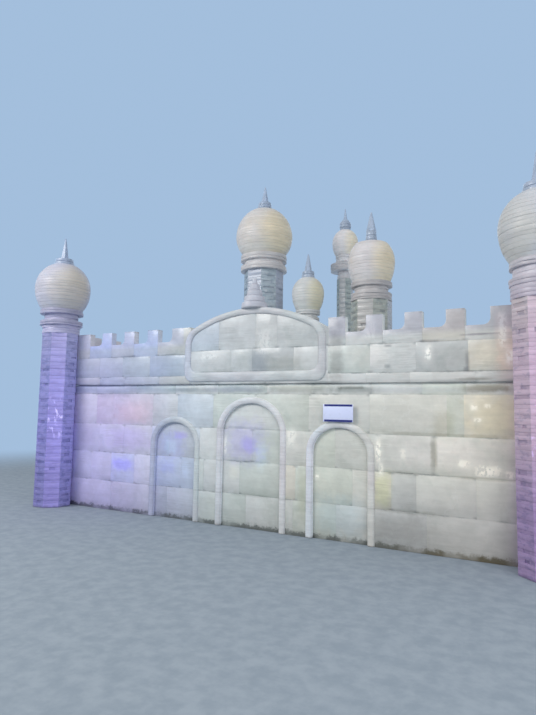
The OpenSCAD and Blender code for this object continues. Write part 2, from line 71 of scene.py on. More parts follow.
RECESS = 0.05          # depth of the arch fields in the CAD, and their depth here
FIELD = 0.032
MOULDING_W = 0.10
BAND_REACH = 0.026     # how far the mouldings and the frame stand out
CURVE = 36             # steps round an arch, and across a moulding
BAND_STEPS = 12
GAP = 0.00015          # half a joint between two blocks
LEAST_BLOCK = 0.12
LAYER_GAP = 0.0003     # the same for the layers of domes and collars, the slabs of shafts, and caps
SHAFT_GAP = 0.0004
CAP_GAP = 0.0006
ICE_IOR = 1.31


# Mesh helpers

def linked(name, data):
    ob = bpy.data.objects.new(name, data)
    bpy.context.scene.collection.objects.link(ob)
    return ob


def new_object(name, verts, faces, mat):
    me = bpy.data.meshes.new(name)
    me.from_pydata(verts, [], faces)
    me.update()
    me.materials.append(mat)
    return linked(name, me)


def bm_object(name, bm, mat=None):
    bmesh.ops.recalc_face_normals(bm, faces=bm.faces[:])
    me = bpy.data.meshes.new(name)
    bm.to_mesh(me)
    bm.free()
    if mat:
        me.materials.append(mat)
    return linked(name, me)


def add_prism(bm, poly, place, d0, d1, bevel=0.0, shift=0.0):
    """A prism with the outline poly in (u, w), from depth d0 to d1, set in the world by place(u, d, w)."""
    part = bmesh.new()
    n = len(poly)
    a = [part.verts.new(place(u, d0 + shift, w)) for u, w in poly]
    b = [part.verts.new(place(u, d1, w)) for u, w in poly]
    part.faces.new(a)
    part.faces.new(b[::-1])
    for i in range(n):
        j = (i + 1) % n
        part.faces.new([a[j], a[i], b[i], b[j]])
    bmesh.ops.recalc_face_normals(part, faces=part.faces[:])
    if bevel:
        sharp = [e for e in part.edges if len(e.link_faces) == 2 and e.calc_face_angle(0) > 0.5]
        bmesh.ops.bevel(part, geom=sharp, offset=bevel, offset_type="OFFSET", segments=2,
                        profile=0.5, affect="EDGES", clamp_overlap=True)
    join_bm(bm, part)


def join_bm(bm, part):
    me = bpy.data.meshes.new("part")
    part.to_mesh(me)
    part.free()
    bm.from_mesh(me)
    bpy.data.meshes.remove(me)


def skin(bm, rings, loop=False):
    """Faces between rings with the same number of points; the first and the last are closed unless it is a loop."""
    n = len(rings[0])
    for a, b in list(zip(rings, rings[1:])) + ([(rings[-1], rings[0])] if loop else []):
        for k in range(n):
            j = (k + 1) % n
            bm.faces.new([a[k], a[j], b[j], b[k]])
    if not loop:
        bm.faces.new(rings[0][::-1])
        bm.faces.new(rings[-1])


def rect(u0, u1, w0, w1):
    return [(u0, w0), (u1, w0), (u1, w1), (u0, w1)]


def apply_modifiers(ob):
    dg = bpy.context.evaluated_depsgraph_get()
    me = bpy.data.meshes.new_from_object(ob.evaluated_get(dg), depsgraph=dg)
    old = ob.data
    ob.modifiers.clear()
    ob.data = me
    bpy.data.meshes.remove(old)


def cut(ob, tool, operation):
    m = ob.modifiers.new("cut", "BOOLEAN")
    m.operation = operation
    m.solver = "EXACT"
    m.object = tool
    apply_modifiers(ob)
    me = tool.data
    bpy.data.objects.remove(tool)
    bpy.data.meshes.remove(me)


def bevel_edges(ob, width):
    m = ob.modifiers.new("bevel", "BEVEL")
    m.width = width
    m.segments = 2
    m.limit_method = "ANGLE"
    m.angle_limit = math.radians(35)
    m.use_clamp_overlap = True
    apply_modifiers(ob)


def smooth_by_angle(ob, degrees=40):
    me = ob.data
    me.polygons.foreach_set("use_smooth", [True] * len(me.polygons))
    me.set_sharp_from_angle(angle=math.radians(degrees))


def islands(me):
    """For each vertex the lowest number of a vertex in the same connected piece."""
    e = np.empty(len(me.edges) * 2, np.int32)
    me.edges.foreach_get("vertices", e)
    e = e.reshape(-1, 2)
    label = np.arange(len(me.vertices))
    while True:
        low = np.minimum(label[e[:, 0]], label[e[:, 1]])
        before = label.copy()
        np.minimum.at(label, e[:, 0], low)
        np.minimum.at(label, e[:, 1], low)
        label = label[label]
        if (label == before).all():
            return label


def tag_blocks(ob, seed, tint):
    """Stores on each vertex where it lies in its own block, the block's half size, three random numbers and a tint."""
    me = ob.data
    n = len(me.vertices)
    co = np.empty(n * 3, np.float32)
    me.vertices.foreach_get("co", co)
    co = co.reshape(-1, 3)
    label = islands(me)
    p, h, r, c = (np.zeros((n, 3), np.float32) for _ in range(4))
    rng = random.Random(seed)
    keys = sorted(set(label.tolist()), key=lambda k: tuple(np.round(co[label == k].mean(0), 2).tolist()))
    for k in keys:
        m = label == k
        lo, hi = co[m].min(0), co[m].max(0)
        mid = (lo + hi) / 2
        p[m] = co[m] - mid
        h[m] = (hi - lo) / 2
        r[m] = [rng.random(), rng.random(), rng.random()]
        c[m] = tint(mid, rng)
    for name, data in (("blk_p", p), ("blk_h", h), ("blk_r", r), ("blk_c", c)):
        at = me.attributes.new(name, "FLOAT_VECTOR", "POINT")
        at.data.foreach_set("vector", data.ravel())


# Node helpers

class Mat:
    def __init__(self, name):
        self.mat = bpy.data.materials.new(name)
        self.mat.use_nodes = True
        self.t = self.mat.node_tree
        self.t.nodes.clear()
        self.out = self.t.nodes.new("ShaderNodeOutputMaterial")
        self.bsdf = self.t.nodes.new("ShaderNodeBsdfPrincipled")
        self.t.links.new(self.bsdf.outputs[0], self.out.inputs[0])

    def node(self, kind, **props):
        n = self.t.nodes.new(kind)
        for k, v in props.items():
            setattr(n, k, v)
        return n

    def put(self, socket, value):
        if isinstance(value, bpy.types.NodeSocket):
            self.t.links.new(value, socket)
        else:
            socket.default_value = value

    def set(self, **values):
        for k, v in values.items():
            self.put(self.bsdf.inputs[k.replace("_", " ")], v)

    def cloudy_ice(self, col, rough, normal, coat, coat_rough, depth=0.010, radius=(0.6, 0.9, 1.0)):
        self.set(Base_Color=col, Roughness=rough, Normal=normal)
        self.set(IOR=ICE_IOR, Subsurface_Weight=0.15, Subsurface_Radius=radius, Subsurface_Scale=depth,
                 Coat_Weight=coat, Coat_Roughness=coat_rough)
        return self.mat

    def math(self, op, a, b=0.0, c=0.0):
        n = self.node("ShaderNodeMath", operation=op)
        self.put(n.inputs[0], a)
        self.put(n.inputs[1], b)
        if len(n.inputs) > 2:
            self.put(n.inputs[2], c)
        return n.outputs[0]

    def mul(self, *values):
        """The product, multiplied from the left."""
        out = values[0]
        for v in values[1:]:
            out = self.math("MULTIPLY", out, v)
        return out

    def add(self, a, b):
        return self.math("ADD", a, b)

    def vmath(self, op, a, b=(0, 0, 0)):
        n = self.node("ShaderNodeVectorMath", operation=op)
        self.put(n.inputs[0], a)
        if op == "SCALE":
            self.put(n.inputs["Scale"], b)
        else:
            self.put(n.inputs[1], b)
        return n.outputs["Value"] if op in ("LENGTH", "DOT_PRODUCT") else n.outputs[0]

    def mix(self, fac, a, b, blend="MIX"):
        n = self.node("ShaderNodeMix", data_type="RGBA", blend_type=blend, clamp_result=False)
        self.put(n.inputs["Factor"], fac)
        ins = [s for s in n.inputs if s.name in ("A", "B") and s.type == "RGBA"]
        for s, v in zip(ins, (a, b)):
            self.put(s, tuple(v) + (1.0,) if isinstance(v, tuple) and len(v) == 3 else v)
        return [s for s in n.outputs if s.type == "RGBA"][0]

    def tint(self, fac, col, colour):
        return self.mix(fac, col, colour, "MULTIPLY")

    def vary(self, value, start, end, col, low, high):
        """The colour scaled by low where the value is under start, by high where it is over end."""
        return self.mix(self.span(value, start, end), self.scale(col, low), self.scale(col, high))

    def scale(self, vec, factor):
        return self.vmath("SCALE", vec, factor)

    def moved(self, vec, offset):
        return self.vmath("ADD", vec, offset)

    def centred(self, value):
        """A noise about 0 instead of about 0.5."""
        return self.math("SUBTRACT", value, 0.5)

    def zone(self, col, colour, *spans):
        """The colour multiplied where all spans of (value, from, to) are 1; a single value is a mask."""
        masks = [self.span(*v) if isinstance(v, tuple) else v for v in spans]
        return self.tint(self.mul(*masks), col, colour)

    def attr(self, name, out="Vector"):
        n = self.node("ShaderNodeAttribute", attribute_name=name)
        return n.outputs[out]

    def coords(self):
        return self.node("ShaderNodeTexCoord").outputs["Object"]

    def split(self, v):
        n = self.node("ShaderNodeSeparateXYZ")
        self.put(n.inputs[0], v)
        return n.outputs[0], n.outputs[1], n.outputs[2]

    def join(self, x, y, z):
        n = self.node("ShaderNodeCombineXYZ")
        for s, v in zip(n.inputs, (x, y, z)):
            self.put(s, v)
        return n.outputs[0]

    def noise(self, vec, scale, detail=2.0, rough=0.5, distort=0.0, out="Factor"):
        n = self.node("ShaderNodeTexNoise")
        for k, v in (("Vector", vec), ("Scale", scale), ("Detail", detail), ("Roughness", rough),
                     ("Distortion", distort)):
            self.put(n.inputs[k], v)
        return n.outputs[0] if out == "Factor" else n.outputs[1]

    def voronoi(self, vec, scale, feature="F1", out="Distance"):
        n = self.node("ShaderNodeTexVoronoi", feature=feature)
        self.put(n.inputs["Vector"], vec)
        self.put(n.inputs["Scale"], scale)
        return n.outputs[out]

    def span(self, v, a, b, c=0.0, d=1.0, smooth=True):
        n = self.node("ShaderNodeMapRange", clamp=True)
        if smooth:
            n.interpolation_type = "SMOOTHSTEP"
        self.put(n.inputs["Value"], v)
        for k, x in (("From Min", a), ("From Max", b), ("To Min", c), ("To Max", d)):
            self.put(n.inputs[k], x)
        return n.outputs[0]

    def bump(self, height, distance, strength):
        n = self.node("ShaderNodeBump")
        self.put(n.inputs["Strength"], strength)
        self.put(n.inputs["Distance"], distance)
        self.put(n.inputs["Height"], height)
        return n.outputs[0]


WALL_RIGHT_END = (3.58, 3.86, 0.0, 0.5)
TOWER_RIGHT_END = (3.2, 3.4, 0.0, 1.0)


def colour_cast(m, pos, colour, right_end=WALL_RIGHT_END):
    """The coloured light left in the ice: violet low on the left, lilac and blue on the right tower."""
    x, _, z = m.split(pos)
    xs = m.add(x, m.mul(m.centred(m.noise(pos, 0.7, 2.0)), 1.2))
    left = m.mul(m.span(xs, -0.7, -3.2), m.span(z, 4.2, 1.2, 0.08, 1.0))
    blue = m.mul(m.span(xs, 0.9, -1.4), m.span(z, 3.4, 2.2, 0.5, 1.0), 0.75)
    right = m.mul(m.span(x, *right_end), m.span(z, 4.0, 2.2, 0.06, 1.0))
    low = m.mul(right, m.span(z, 1.8, 0.6))
    for mask, cast in ((blue, (0.92, 0.98, 1.07)), (left, (0.92, 0.83, 1.26)),
                       (right, (0.99, 0.79, 1.09)), (low, (0.60, 0.57, 0.82))):
        colour = m.tint(mask, colour, cast)
    return colour


def normals(m):
    return m.split(m.node("ShaderNodeNewGeometry").outputs["Normal"])


def edge_distances(m):
    """Distances from a point's level and upright edges in its own block, in metres, with a little waver."""
    d = m.vmath("SUBTRACT", m.attr("blk_h"), m.vmath("ABSOLUTE", m.attr("blk_p")))
    a, b, c = m.split(d)
    waver = m.mul(m.centred(m.noise(m.coords(), 8.0, 2.0)), 0.010)
    return m.add(c, waver), m.add(m.math("MAXIMUM", a, b), waver)


# Painted highlights where the ice of the front glints: x, z, half width, half height, strength
GLINTS = [(2.02, 1.27, 0.040, 0.17, 1.0), (2.06, 1.04, 0.035, 0.08, 0.7), (2.36, 1.25, 0.04, 0.08, 0.4),
          (1.11, 0.86, 0.030, 0.030, 1.0), (3.40, 1.10, 0.16, 0.07, 1.0), (3.12, 1.17, 0.08, 0.05, 0.7),
          (3.66, 1.07, 0.05, 0.05, 0.7), (3.30, 1.72, 0.05, 0.03, 0.9), (3.42, 1.90, 0.04, 0.03, 0.5),
          (2.71, 2.58, 0.045, 0.09, 0.9), (3.26, 1.88, 0.05, 0.05, 0.8), (0.70, 1.41, 0.09, 0.12, 0.5),
          (-0.48, 1.24, 0.035, 0.14, 0.7), (3.62, 2.86, 0.05, 0.24, 0.7), (3.70, 2.50, 0.05, 0.10, 0.7),
          (0.24, 2.87, 0.14, 0.20, 0.35), (-0.76, 2.64, 0.20, 0.045, 0.4), (1.93, 2.93, 0.08, 0.16, 0.3)]
# Darker and tinted patches deep in the ice, partly its own tone, dark joints and cracks, and partly painted coloured
# light glowing in it and painted shade under the parapets: x, z, half width, half height, colour factor
PATCHES = [(-0.12, 1.30, 0.40, 0.34, (0.92, 0.89, 1.16)), (-0.05, 1.26, 0.14, 0.12, (0.88, 0.84, 1.16)),
           (-1.55, 1.20, 0.30, 0.24, (0.92, 0.92, 1.12)), (-1.56, 1.16, 0.13, 0.13, (1.12, 1.22, 1.12)),
           (-1.36, 1.36, 0.14, 0.06, (0.94, 0.86, 1.16)), (-1.62, 0.82, 0.18, 0.10, (0.93, 0.93, 1.08)),
           (-1.26, 0.80, 0.07, 0.14, (1.12, 1.14, 1.16)), (0.18, 1.10, 0.10, 0.20, (1.06, 1.12, 1.18)),
           (-0.30, 0.84, 0.10, 0.12, (1.10, 1.09, 1.04)), (-0.10, 1.52, 0.42, 0.02, (0.82, 0.83, 0.82)),
           (-0.05, 1.00, 0.40, 0.03, (0.86, 0.88, 0.88)), (0.05, 0.50, 0.34, 0.03, (0.84, 0.85, 0.84)),
           (-2.60, 0.80, 0.26, 0.12, (0.82, 0.78, 1.12)), (3.42, 2.12, 0.33, 0.05, (0.56, 0.53, 0.47)),
           (0.14, 2.53, 0.16, 0.20, (0.84, 0.86, 0.92)), (0.62, 2.50, 0.34, 0.11, (0.88, 0.88, 0.85)),
           (-2.40, 1.72, 0.42, 0.18, (1.07, 0.965, 0.95)), (1.68, 2.11, 0.34, 0.05, (0.72, 0.74, 0.72)),
           (0.45, 0.30, 0.26, 0.22, (0.92, 0.94, 0.92)), (1.46, 0.33, 0.44, 0.30, (0.88, 0.96, 1.04)),
           (3.66, 2.60, 0.14, 0.44, (1.12, 1.00, 0.98)), (0.92, 0.60, 0.12, 0.40, (0.88, 0.88, 0.82)),
           (2.30, 0.26, 0.50, 0.20, (0.84, 0.84, 0.83)), (2.76, 1.27, 0.045, 0.22, (0.66, 0.66, 0.62)),
           (2.08, 0.76, 0.13, 0.24, (1.04, 1.08, 0.90)), (3.50, 1.76, 0.34, 0.26, (1.06, 1.03, 0.93)),
           (3.50, 2.54, 0.30, 0.18, (1.06, 1.03, 0.97)), (2.60, 1.52, 0.50, 0.024, (0.80, 0.80, 0.77)),
           (3.30, 1.52, 0.34, 0.024, (0.82, 0.81, 0.77)), (3.30, 1.00, 0.40, 0.024, (0.82, 0.81, 0.77)),
           (2.30, 1.00, 0.30, 0.024, (0.82, 0.82, 0.80)), (2.40, 0.50, 0.50, 0.035, (0.78, 0.78, 0.76)),
           (3.36, 2.80, 0.22, 0.014, (0.62, 0.60, 0.64)), (2.72, 2.74, 0.16, 0.020, (0.70, 0.69, 0.71)),
           (2.17, 2.70, 0.05, 0.020, (0.66, 0.66, 0.67)), (3.20, 2.46, 0.03, 0.12, (0.76, 0.75, 0.76)),
           (2.17, 2.42, 0.05, 0.030, (0.72, 0.73, 0.74)), (3.18, 2.36, 0.04, 0.04, (0.66, 0.66, 0.67)),
           (1.65, 2.13, 0.20, 0.020, (0.66, 0.66, 0.64)), (3.28, 2.235, 0.24, 0.018, (0.66, 0.65, 0.62)),
           (-2.55, 2.70, 0.30, 0.020, (0.80, 0.81, 0.82)), (-1.60, 2.70, 0.18, 0.022, (0.74, 0.77, 0.79)),
           (-3.50, 1.25, 0.26, 0.22, (0.90, 0.88, 0.90)), (-2.45, 1.27, 0.55, 0.22, (0.96, 0.90, 1.04)),
           (-3.10, 2.18, 0.50, 0.020, (0.74, 0.75, 0.78)), (-2.30, 2.15, 0.35, 0.035, (0.80, 0.82, 0.86)),
           (-1.30, 2.11, 0.30, 0.030, (0.80, 0.82, 0.84)),
           (2.90, 1.66, 0.14, 0.20, (0.88, 0.87, 0.82)), (2.98, 2.52, 0.34, 0.18, (0.90, 0.90, 0.89)),
           (-2.80, 2.04, 0.60, 0.06, (0.84, 0.86, 0.88)), (-1.05, 2.10, 0.45, 0.05, (0.80, 0.82, 0.82)),
           (-0.30, 2.12, 0.55, 0.06, (0.73, 0.74, 0.82)), (0.78, 2.12, 0.62, 0.06, (0.75, 0.76, 0.72)),
           (0.05, 2.54, 0.42, 0.17, (0.82, 0.84, 0.83)), (1.42, 2.60, 0.11, 0.44, (0.72, 0.71, 0.71)),
           (1.88, 2.56, 0.30, 0.20, (1.10, 1.06, 1.04)),
           (0.92, 3.00, 0.36, 0.28, (0.90, 0.92, 0.92)), (2.85, 1.28, 0.75, 0.21, (1.10, 1.07, 1.09))]

# Other zones of the front are multiplied by a colour where every span is full: (axis, from, to)
PARAPET, WALL, INSET = ("z", 2.02, 2.10), ("z", 2.10, 2.02), ("y", FRONT_Y + 0.015, FRONT_Y + 0.025)
MERLON = ("z", 2.80, 2.92)
ZONES = [
    # clearer, darker ice in the parapets, most of all on the left and in the merlons, and in the slabs under them
    ((0.90, 0.90, 0.92), PARAPET), ((0.82, 0.86, 0.87), PARAPET, ("x", -0.9, -1.5)), (None, PARAPET, MERLON),
    ((0.965, 0.955, 0.945), WALL), ((0.995, 0.985, 0.955), WALL, ("x", 0.5, 1.3)),
    ((0.99, 0.97, 0.91), WALL, ("z", 1.35, 1.60), ("x", -1.6, -2.2)),
    ((0.95, 0.94, 0.95), WALL, ("z", 0.7, 0.4), ("x", -1.6, -2.2)),
    # darker fields in the left and the middle arch
    ((0.96, 0.96, 0.955), INSET), ((0.94, 0.95, 0.96), INSET, ("x", 0.85, 0.75)),
    ((0.90, 0.92, 0.99), INSET, ("x", -0.75, -0.85)),
    # warmer ice toward the right end, darker low down, and lighter where a shadow falls
    ((1.05, 1.02, 0.98), ("x", 1.6, 3.6)), ((0.86, 0.86, 0.90), ("x", 1.6, 2.2), ("z", 1.15, 0.4)),
    ((1.26, 1.26, 1.22), ("z", 2.11, 2.17), ("z", 2.21, 2.19)), ((1.30, 1.30, 1.22), ("x", -3.62, -3.84)),
]
SQUARISH = 3.2


def reach_of(m, x, z, at, ragged):
    """0 in the middle of a squarish mark on the front and 1 at its edge; at is its centre and half sizes."""
    u, v = (m.math("POWER", m.math("ABSOLUTE", m.math("DIVIDE", m.math("SUBTRACT", c, mid), half)), SQUARISH)
            for c, mid, half in ((x, at[0], at[2]), (z, at[1], at[3])))
    return m.add(m.math("POWER", m.add(u, v), 1.0 / SQUARISH), ragged)


def marked_front(m, pos, front, col):
    """The front's marks: patches, partly painted light and shade; painted glints; zones, some with painted light where
    a shadow falls; and the broken dark line under the parapets, a painted shadow.
    """
    x, y, z = m.split(pos)
    ragged = m.mul(m.centred(m.noise(pos, 9.0, 3.0, 0.6)), 1.1)
    for patch in PATCHES:
        col = m.tint(m.mul(m.span(reach_of(m, x, z, patch, ragged), 1.35, 0.35), front), col, patch[4])
    broken = m.mul(m.span(m.noise(m.vmath("MULTIPLY", pos, (1.3, 1.0, 1.0)), 17.0, 3.0, 0.6), 0.40, 0.50), front)
    # each glint is a painted highlight: a soft halo and a broken bright core
    for glint in GLINTS:
        far = reach_of(m, x, z, glint, ragged)
        col = m.mix(m.mul(m.span(far, 2.4, 0.4), front, 0.28 * glint[4]), col, (0.93, 0.92, 0.86))
        col = m.mix(m.mul(m.span(far, 1.25, 0.35), broken, glint[4]), col, (1.0, 0.98, 0.90))
    merlon = m.mix(m.span(x, -1.2, -1.4), (0.76, 0.75, 0.84), (1.00, 1.01, 1.16))
    merlon = m.mix(m.span(m.math("ABSOLUTE", x), P_HALF + 0.02, P_HALF), merlon, (0.92, 0.92, 0.93))
    axes = {"x": x, "y": y, "z": z}
    for colour, *spans in ZONES:
        col = m.zone(col, colour or merlon, front, *((axes[a], v0, v1) for a, v0, v1 in spans))
    # the broken dark line under the parapets is a painted shadow of their overhang
    torn = m.noise(m.join(m.mul(x, 1.2), 3.0, 0.0), 1.0, 3.0)
    under = m.mul(m.span(z, 2.160, 2.192), m.span(torn, 0.40, 0.62, 0.0, 0.55), front, m.span(z, 2.25, 2.20))
    return m.mix(under, col, (0.18, 0.20, 0.20))


def ice_block_material(name, marks):
    m = Mat(name)
    pos = m.coords()
    x, y, z = m.split(pos)
    _, ny, nz = normals(m)
    side = m.span(m.math("ABSOLUTE", nz), 0.75, 0.45)
    r1, r2, r3 = m.split(m.attr("blk_r"))
    level, upright = edge_distances(m)
    along = m.add(x, y)
    shifted = m.moved(pos, m.scale(m.attr("blk_r"), 7.0))
    # each block lighter or darker as a whole, with milky and clearer zones
    col = m.scale(m.attr("blk_c"), m.span(r2, 0.0, 1.0, 0.985, 1.03, False))
    col = m.vary(m.noise(shifted, 1.9, 3.0, 0.55, 0.6), 0.34, 0.66, col, 0.95, 1.045)
    clear = m.span(m.noise(m.moved(shifted, (3.0, 1.0, 5.0)), 1.7, 3.0, 0.6, 1.0), 0.55, 0.66)
    col = m.tint(m.mul(clear, 0.5), col, (0.88, 0.91, 0.90))
    # upright bands where the ends of hidden blocks show through
    band = m.noise(m.join(m.mul(along, 2.6), m.mul(r2, 40.0), m.mul(z, 0.30)), 1.0, 0.0)
    col = m.mix(m.span(band, 0.43, 0.53), col, m.scale(col, 0.97))
    # level layers
    streak = m.noise(m.join(m.mul(along, 1.1), r1, m.mul(z, 17.0)), 1.0, 3.0, 0.6, 0.3)
    col = m.vary(streak, 0.34, 0.68, col, 0.97, 1.025)
    thin = m.noise(m.join(m.mul(along, 3.0), r2, m.mul(z, 64.0)), 1.0, 3.0, 0.65)
    some = m.span(m.noise(m.moved(pos, (8.0, 3.0, 2.0)), 2.0, 2.0), 0.50, 0.66)
    thin = m.mix(m.span(thin, 0.40, 0.62), (0.90, 0.90, 0.89), (1.05, 1.05, 1.045))
    col = m.tint(m.mul(some, 0.8), col, thin)
    # refrozen edges, both broken: pale under a joint, partly frost and partly a painted highlight on the top of each
    # block; clear and darker over it, partly clear ice and partly painted shade at the foot of each block
    height = m.math("DIVIDE", m.split(m.attr("blk_p"))[2], m.split(m.attr("blk_h"))[2])
    rel = m.add(height, m.mul(m.centred(m.noise(pos, 5.0, 3.0)), 0.5))
    gate_a = m.span(m.noise(m.join(m.mul(along, 1.5), m.mul(z, 2.0), 1.0), 1.0, 2.0), 0.42, 0.56)
    gate_b = m.span(m.noise(m.join(m.mul(along, 2.2), r1, m.add(z, 9.0)), 1.0, 2.0), 0.40, 0.62)
    pale = m.mul(m.span(rel, 0.50, 0.98), gate_b, side, m.span(z, 2.4, 2.1, 0.4, 1.0))
    col = m.mix(m.mul(pale, 0.18), col, (0.72, 0.73, 0.71))
    col = m.tint(m.mul(m.span(rel, -0.45, -1.0), gate_a, side, 0.6), col, (0.86, 0.88, 0.87))
    # the joints themselves, mostly frozen over
    gate_c = m.span(m.noise(m.moved(pos, (0.0, 7.0, 0.0)), 3.6, 2.0), 0.42, 0.58)
    torn = m.noise(m.vmath("MULTIPLY", pos, (0.45, 0.45, 1.0)), 26.0, 4.0, 0.7)
    rag = m.add(level, m.mul(m.centred(torn), 0.040))
    frost = m.mul(m.span(rag, 0.050, 0.018), m.span(rag, 0.004, 0.014), gate_b, side, 0.16)
    col = m.mix(frost, col, (0.78, 0.79, 0.77))
    line = m.mul(m.span(rag, 0.015, 0.000), gate_a, m.math("MULTIPLY_ADD", gate_c, 0.7, 0.3), 0.58)
    line_v = m.mul(m.span(upright, 0.020, 0.001), gate_c, 0.06)
    corner = m.mul(m.span(level, 0.045, 0.008), m.span(upright, 0.065, 0.010), m.span(r3, 0.45, 0.60), 0.42)
    dark = m.mul(m.math("MAXIMUM", m.math("MAXIMUM", line, line_v), corner), side)
    col = m.mix(dark, col, (0.20, 0.22, 0.22))
    # zigzag cracks in some blocks
    bent = m.moved(pos, m.scale(m.noise(pos, 3.0, 3.0, 0.6, out="Color"), 0.5))
    crack = m.mul(m.span(m.voronoi(bent, 2.3, "DISTANCE_TO_EDGE"), 0.022, 0.002),
                  m.span(m.noise(shifted, 1.3, 1.0), 0.54, 0.64), 0.20)
    col = m.mix(crack, col, (0.76, 0.79, 0.80))
    # frost smudges
    smudge = m.noise(m.vmath("MULTIPLY", pos, (1.0, 1.0, 1.8)), 7.0, 4.0, 0.62)
    col = m.vary(smudge, 0.36, 0.66, col, 0.97, 1.03)
    # snow that has settled on what faces up
    col = m.mix(m.mul(m.span(nz, 0.5, 0.9), 0.7), col, (0.66, 0.70, 0.74))
    if marks:
        col = marked_front(m, pos, m.span(ny, -0.5, -0.8), col)
    # darker toward the foot, a painted shade, and a ragged dark band at the very foot, partly splashes and earth and
    # partly a painted contact shadow
    col = m.tint(m.span(z, 0.75, 0.0), col, (0.84, 0.84, 0.85))
    ragged_foot = m.add(z, m.mul(m.centred(m.noise(pos, 14.0, 5.0, 0.75)), 0.20))
    foot = m.mul(m.span(ragged_foot, 0.088, 0.030), m.span(m.noise(pos, 3.1, 2.0), 0.36, 0.54, 0.45, 0.95))
    col = m.mix(foot, col, m.mix(m.span(x, 1.6, 3.2), (0.13, 0.14, 0.13), (0.13, 0.11, 0.07)))
    # less of the cast on tops, which have settled snow like the deck's
    col = m.mix(m.span(nz, 0.5, 0.9, 0.0, 0.75), colour_cast(m, pos, col), col)
    wave, fine = m.noise(shifted, 2.6, 2.0, 0.5, 0.4), m.noise(pos, 48.0, 3.0, 0.6)
    h = m.add(m.add(m.mul(wave, 0.9), m.mul(fine, 0.05)), m.mul(streak, 0.12))
    rough = m.span(m.noise(shifted, 3.3, 3.0), 0.35, 0.65, 0.20, 0.44)
    return m.cloudy_ice(col, rough, m.bump(h, 0.014, 0.6), 0.14, 0.20)


def carved_ice_material():
    m = Mat("carved_ice")
    pos = m.coords()
    x, y, z = m.split(pos)
    cloud = m.noise(pos, 3.2, 4.0, 0.55, 0.3)
    col = m.mix(m.span(cloud, 0.34, 0.66), (0.592, 0.595, 0.592), (0.661, 0.663, 0.661))
    col = m.vary(m.noise(m.join(m.mul(x, 3.0), y, m.mul(z, 9.0)), 1.0, 4.0, 0.65), 0.36, 0.68, col, 0.94, 1.03)
    col = m.vary(m.noise(m.vmath("MULTIPLY", pos, (4.0, 4.0, 40.0)), 1.0, 3.0, 0.65), 0.40, 0.62, col, 0.94, 1.03)
    # a torn seam at each course of the wall
    seam = m.math("ABSOLUTE", m.centred(m.math("FRACT", m.math("MULTIPLY_ADD", z, 2.0, 0.5))))
    torn = m.centred(m.noise(pos, 22.0, 3.0, 0.7))
    seam = m.mul(m.span(m.add(seam, m.mul(torn, 0.05)), 0.032, 0.004), m.span(z, 2.1, 2.0), 0.30)
    col = m.mix(seam, col, (0.30, 0.32, 0.31))
    rosy = m.span(m.noise(m.moved(pos, (5.0, 0.0, 2.0)), 1.1, 1.0), 0.48, 0.62)
    col = m.tint(m.mul(rosy, 0.7), col, (1.02, 0.965, 1.0))
    leg = m.mix(m.span(x, -1.15, -1.75), (0.89, 0.94, 0.88), (0.74, 0.80, 0.80))
    ny = normals(m)[1]
    over, under = (z, 2.1, 2.2), (z, 2.2, 2.1)
    for colour, *spans in (
            # the pediment's frame is clearer ice than the mouldings
            ((0.825, 0.855, 0.85), over), ((1.03, 1.02, 1.10), (x, -1.0, -1.2), over),
            (leg, (x, -0.75, -0.9), under), ((0.98, 0.965, 0.91), (x, 1.55, 1.75), under),
            ((1.04, 1.09, 1.14), (x, 0.85, 0.95), (x, 1.35, 1.15), under),
            # the pinnacle
            ((0.98, 0.98, 1.05), (z, 3.36, 3.42)),
            # painted light on the thin sides of the bands, where their own shade falls; darker toward the foot, a
            # painted shade
            ((1.35, 1.35, 1.34), (ny, -0.55, -0.15), (z, 3.42, 3.36)),
            ((0.90, 0.90, 0.90), (z, 0.75, 0.0))):
        col = m.zone(col, colour, *spans)
    # a dark band at the foot, partly dirt and partly a painted contact shadow
    foot = m.span(m.add(z, m.mul(m.noise(pos, 9.0, 4.0, 0.7), 0.12)), 0.10, 0.05)
    col = colour_cast(m, pos, m.mix(m.mul(foot, 0.6), col, (0.20, 0.20, 0.19)))
    h = m.add(m.mul(m.noise(pos, 6.0, 2.0), 0.8), m.mul(m.noise(pos, 30.0, 4.0, 0.65), 0.20))
    return m.cloudy_ice(col, m.span(cloud, 0.3, 0.7, 0.55, 0.36), m.bump(h, 0.012, 0.7), 0.08, 0.25)


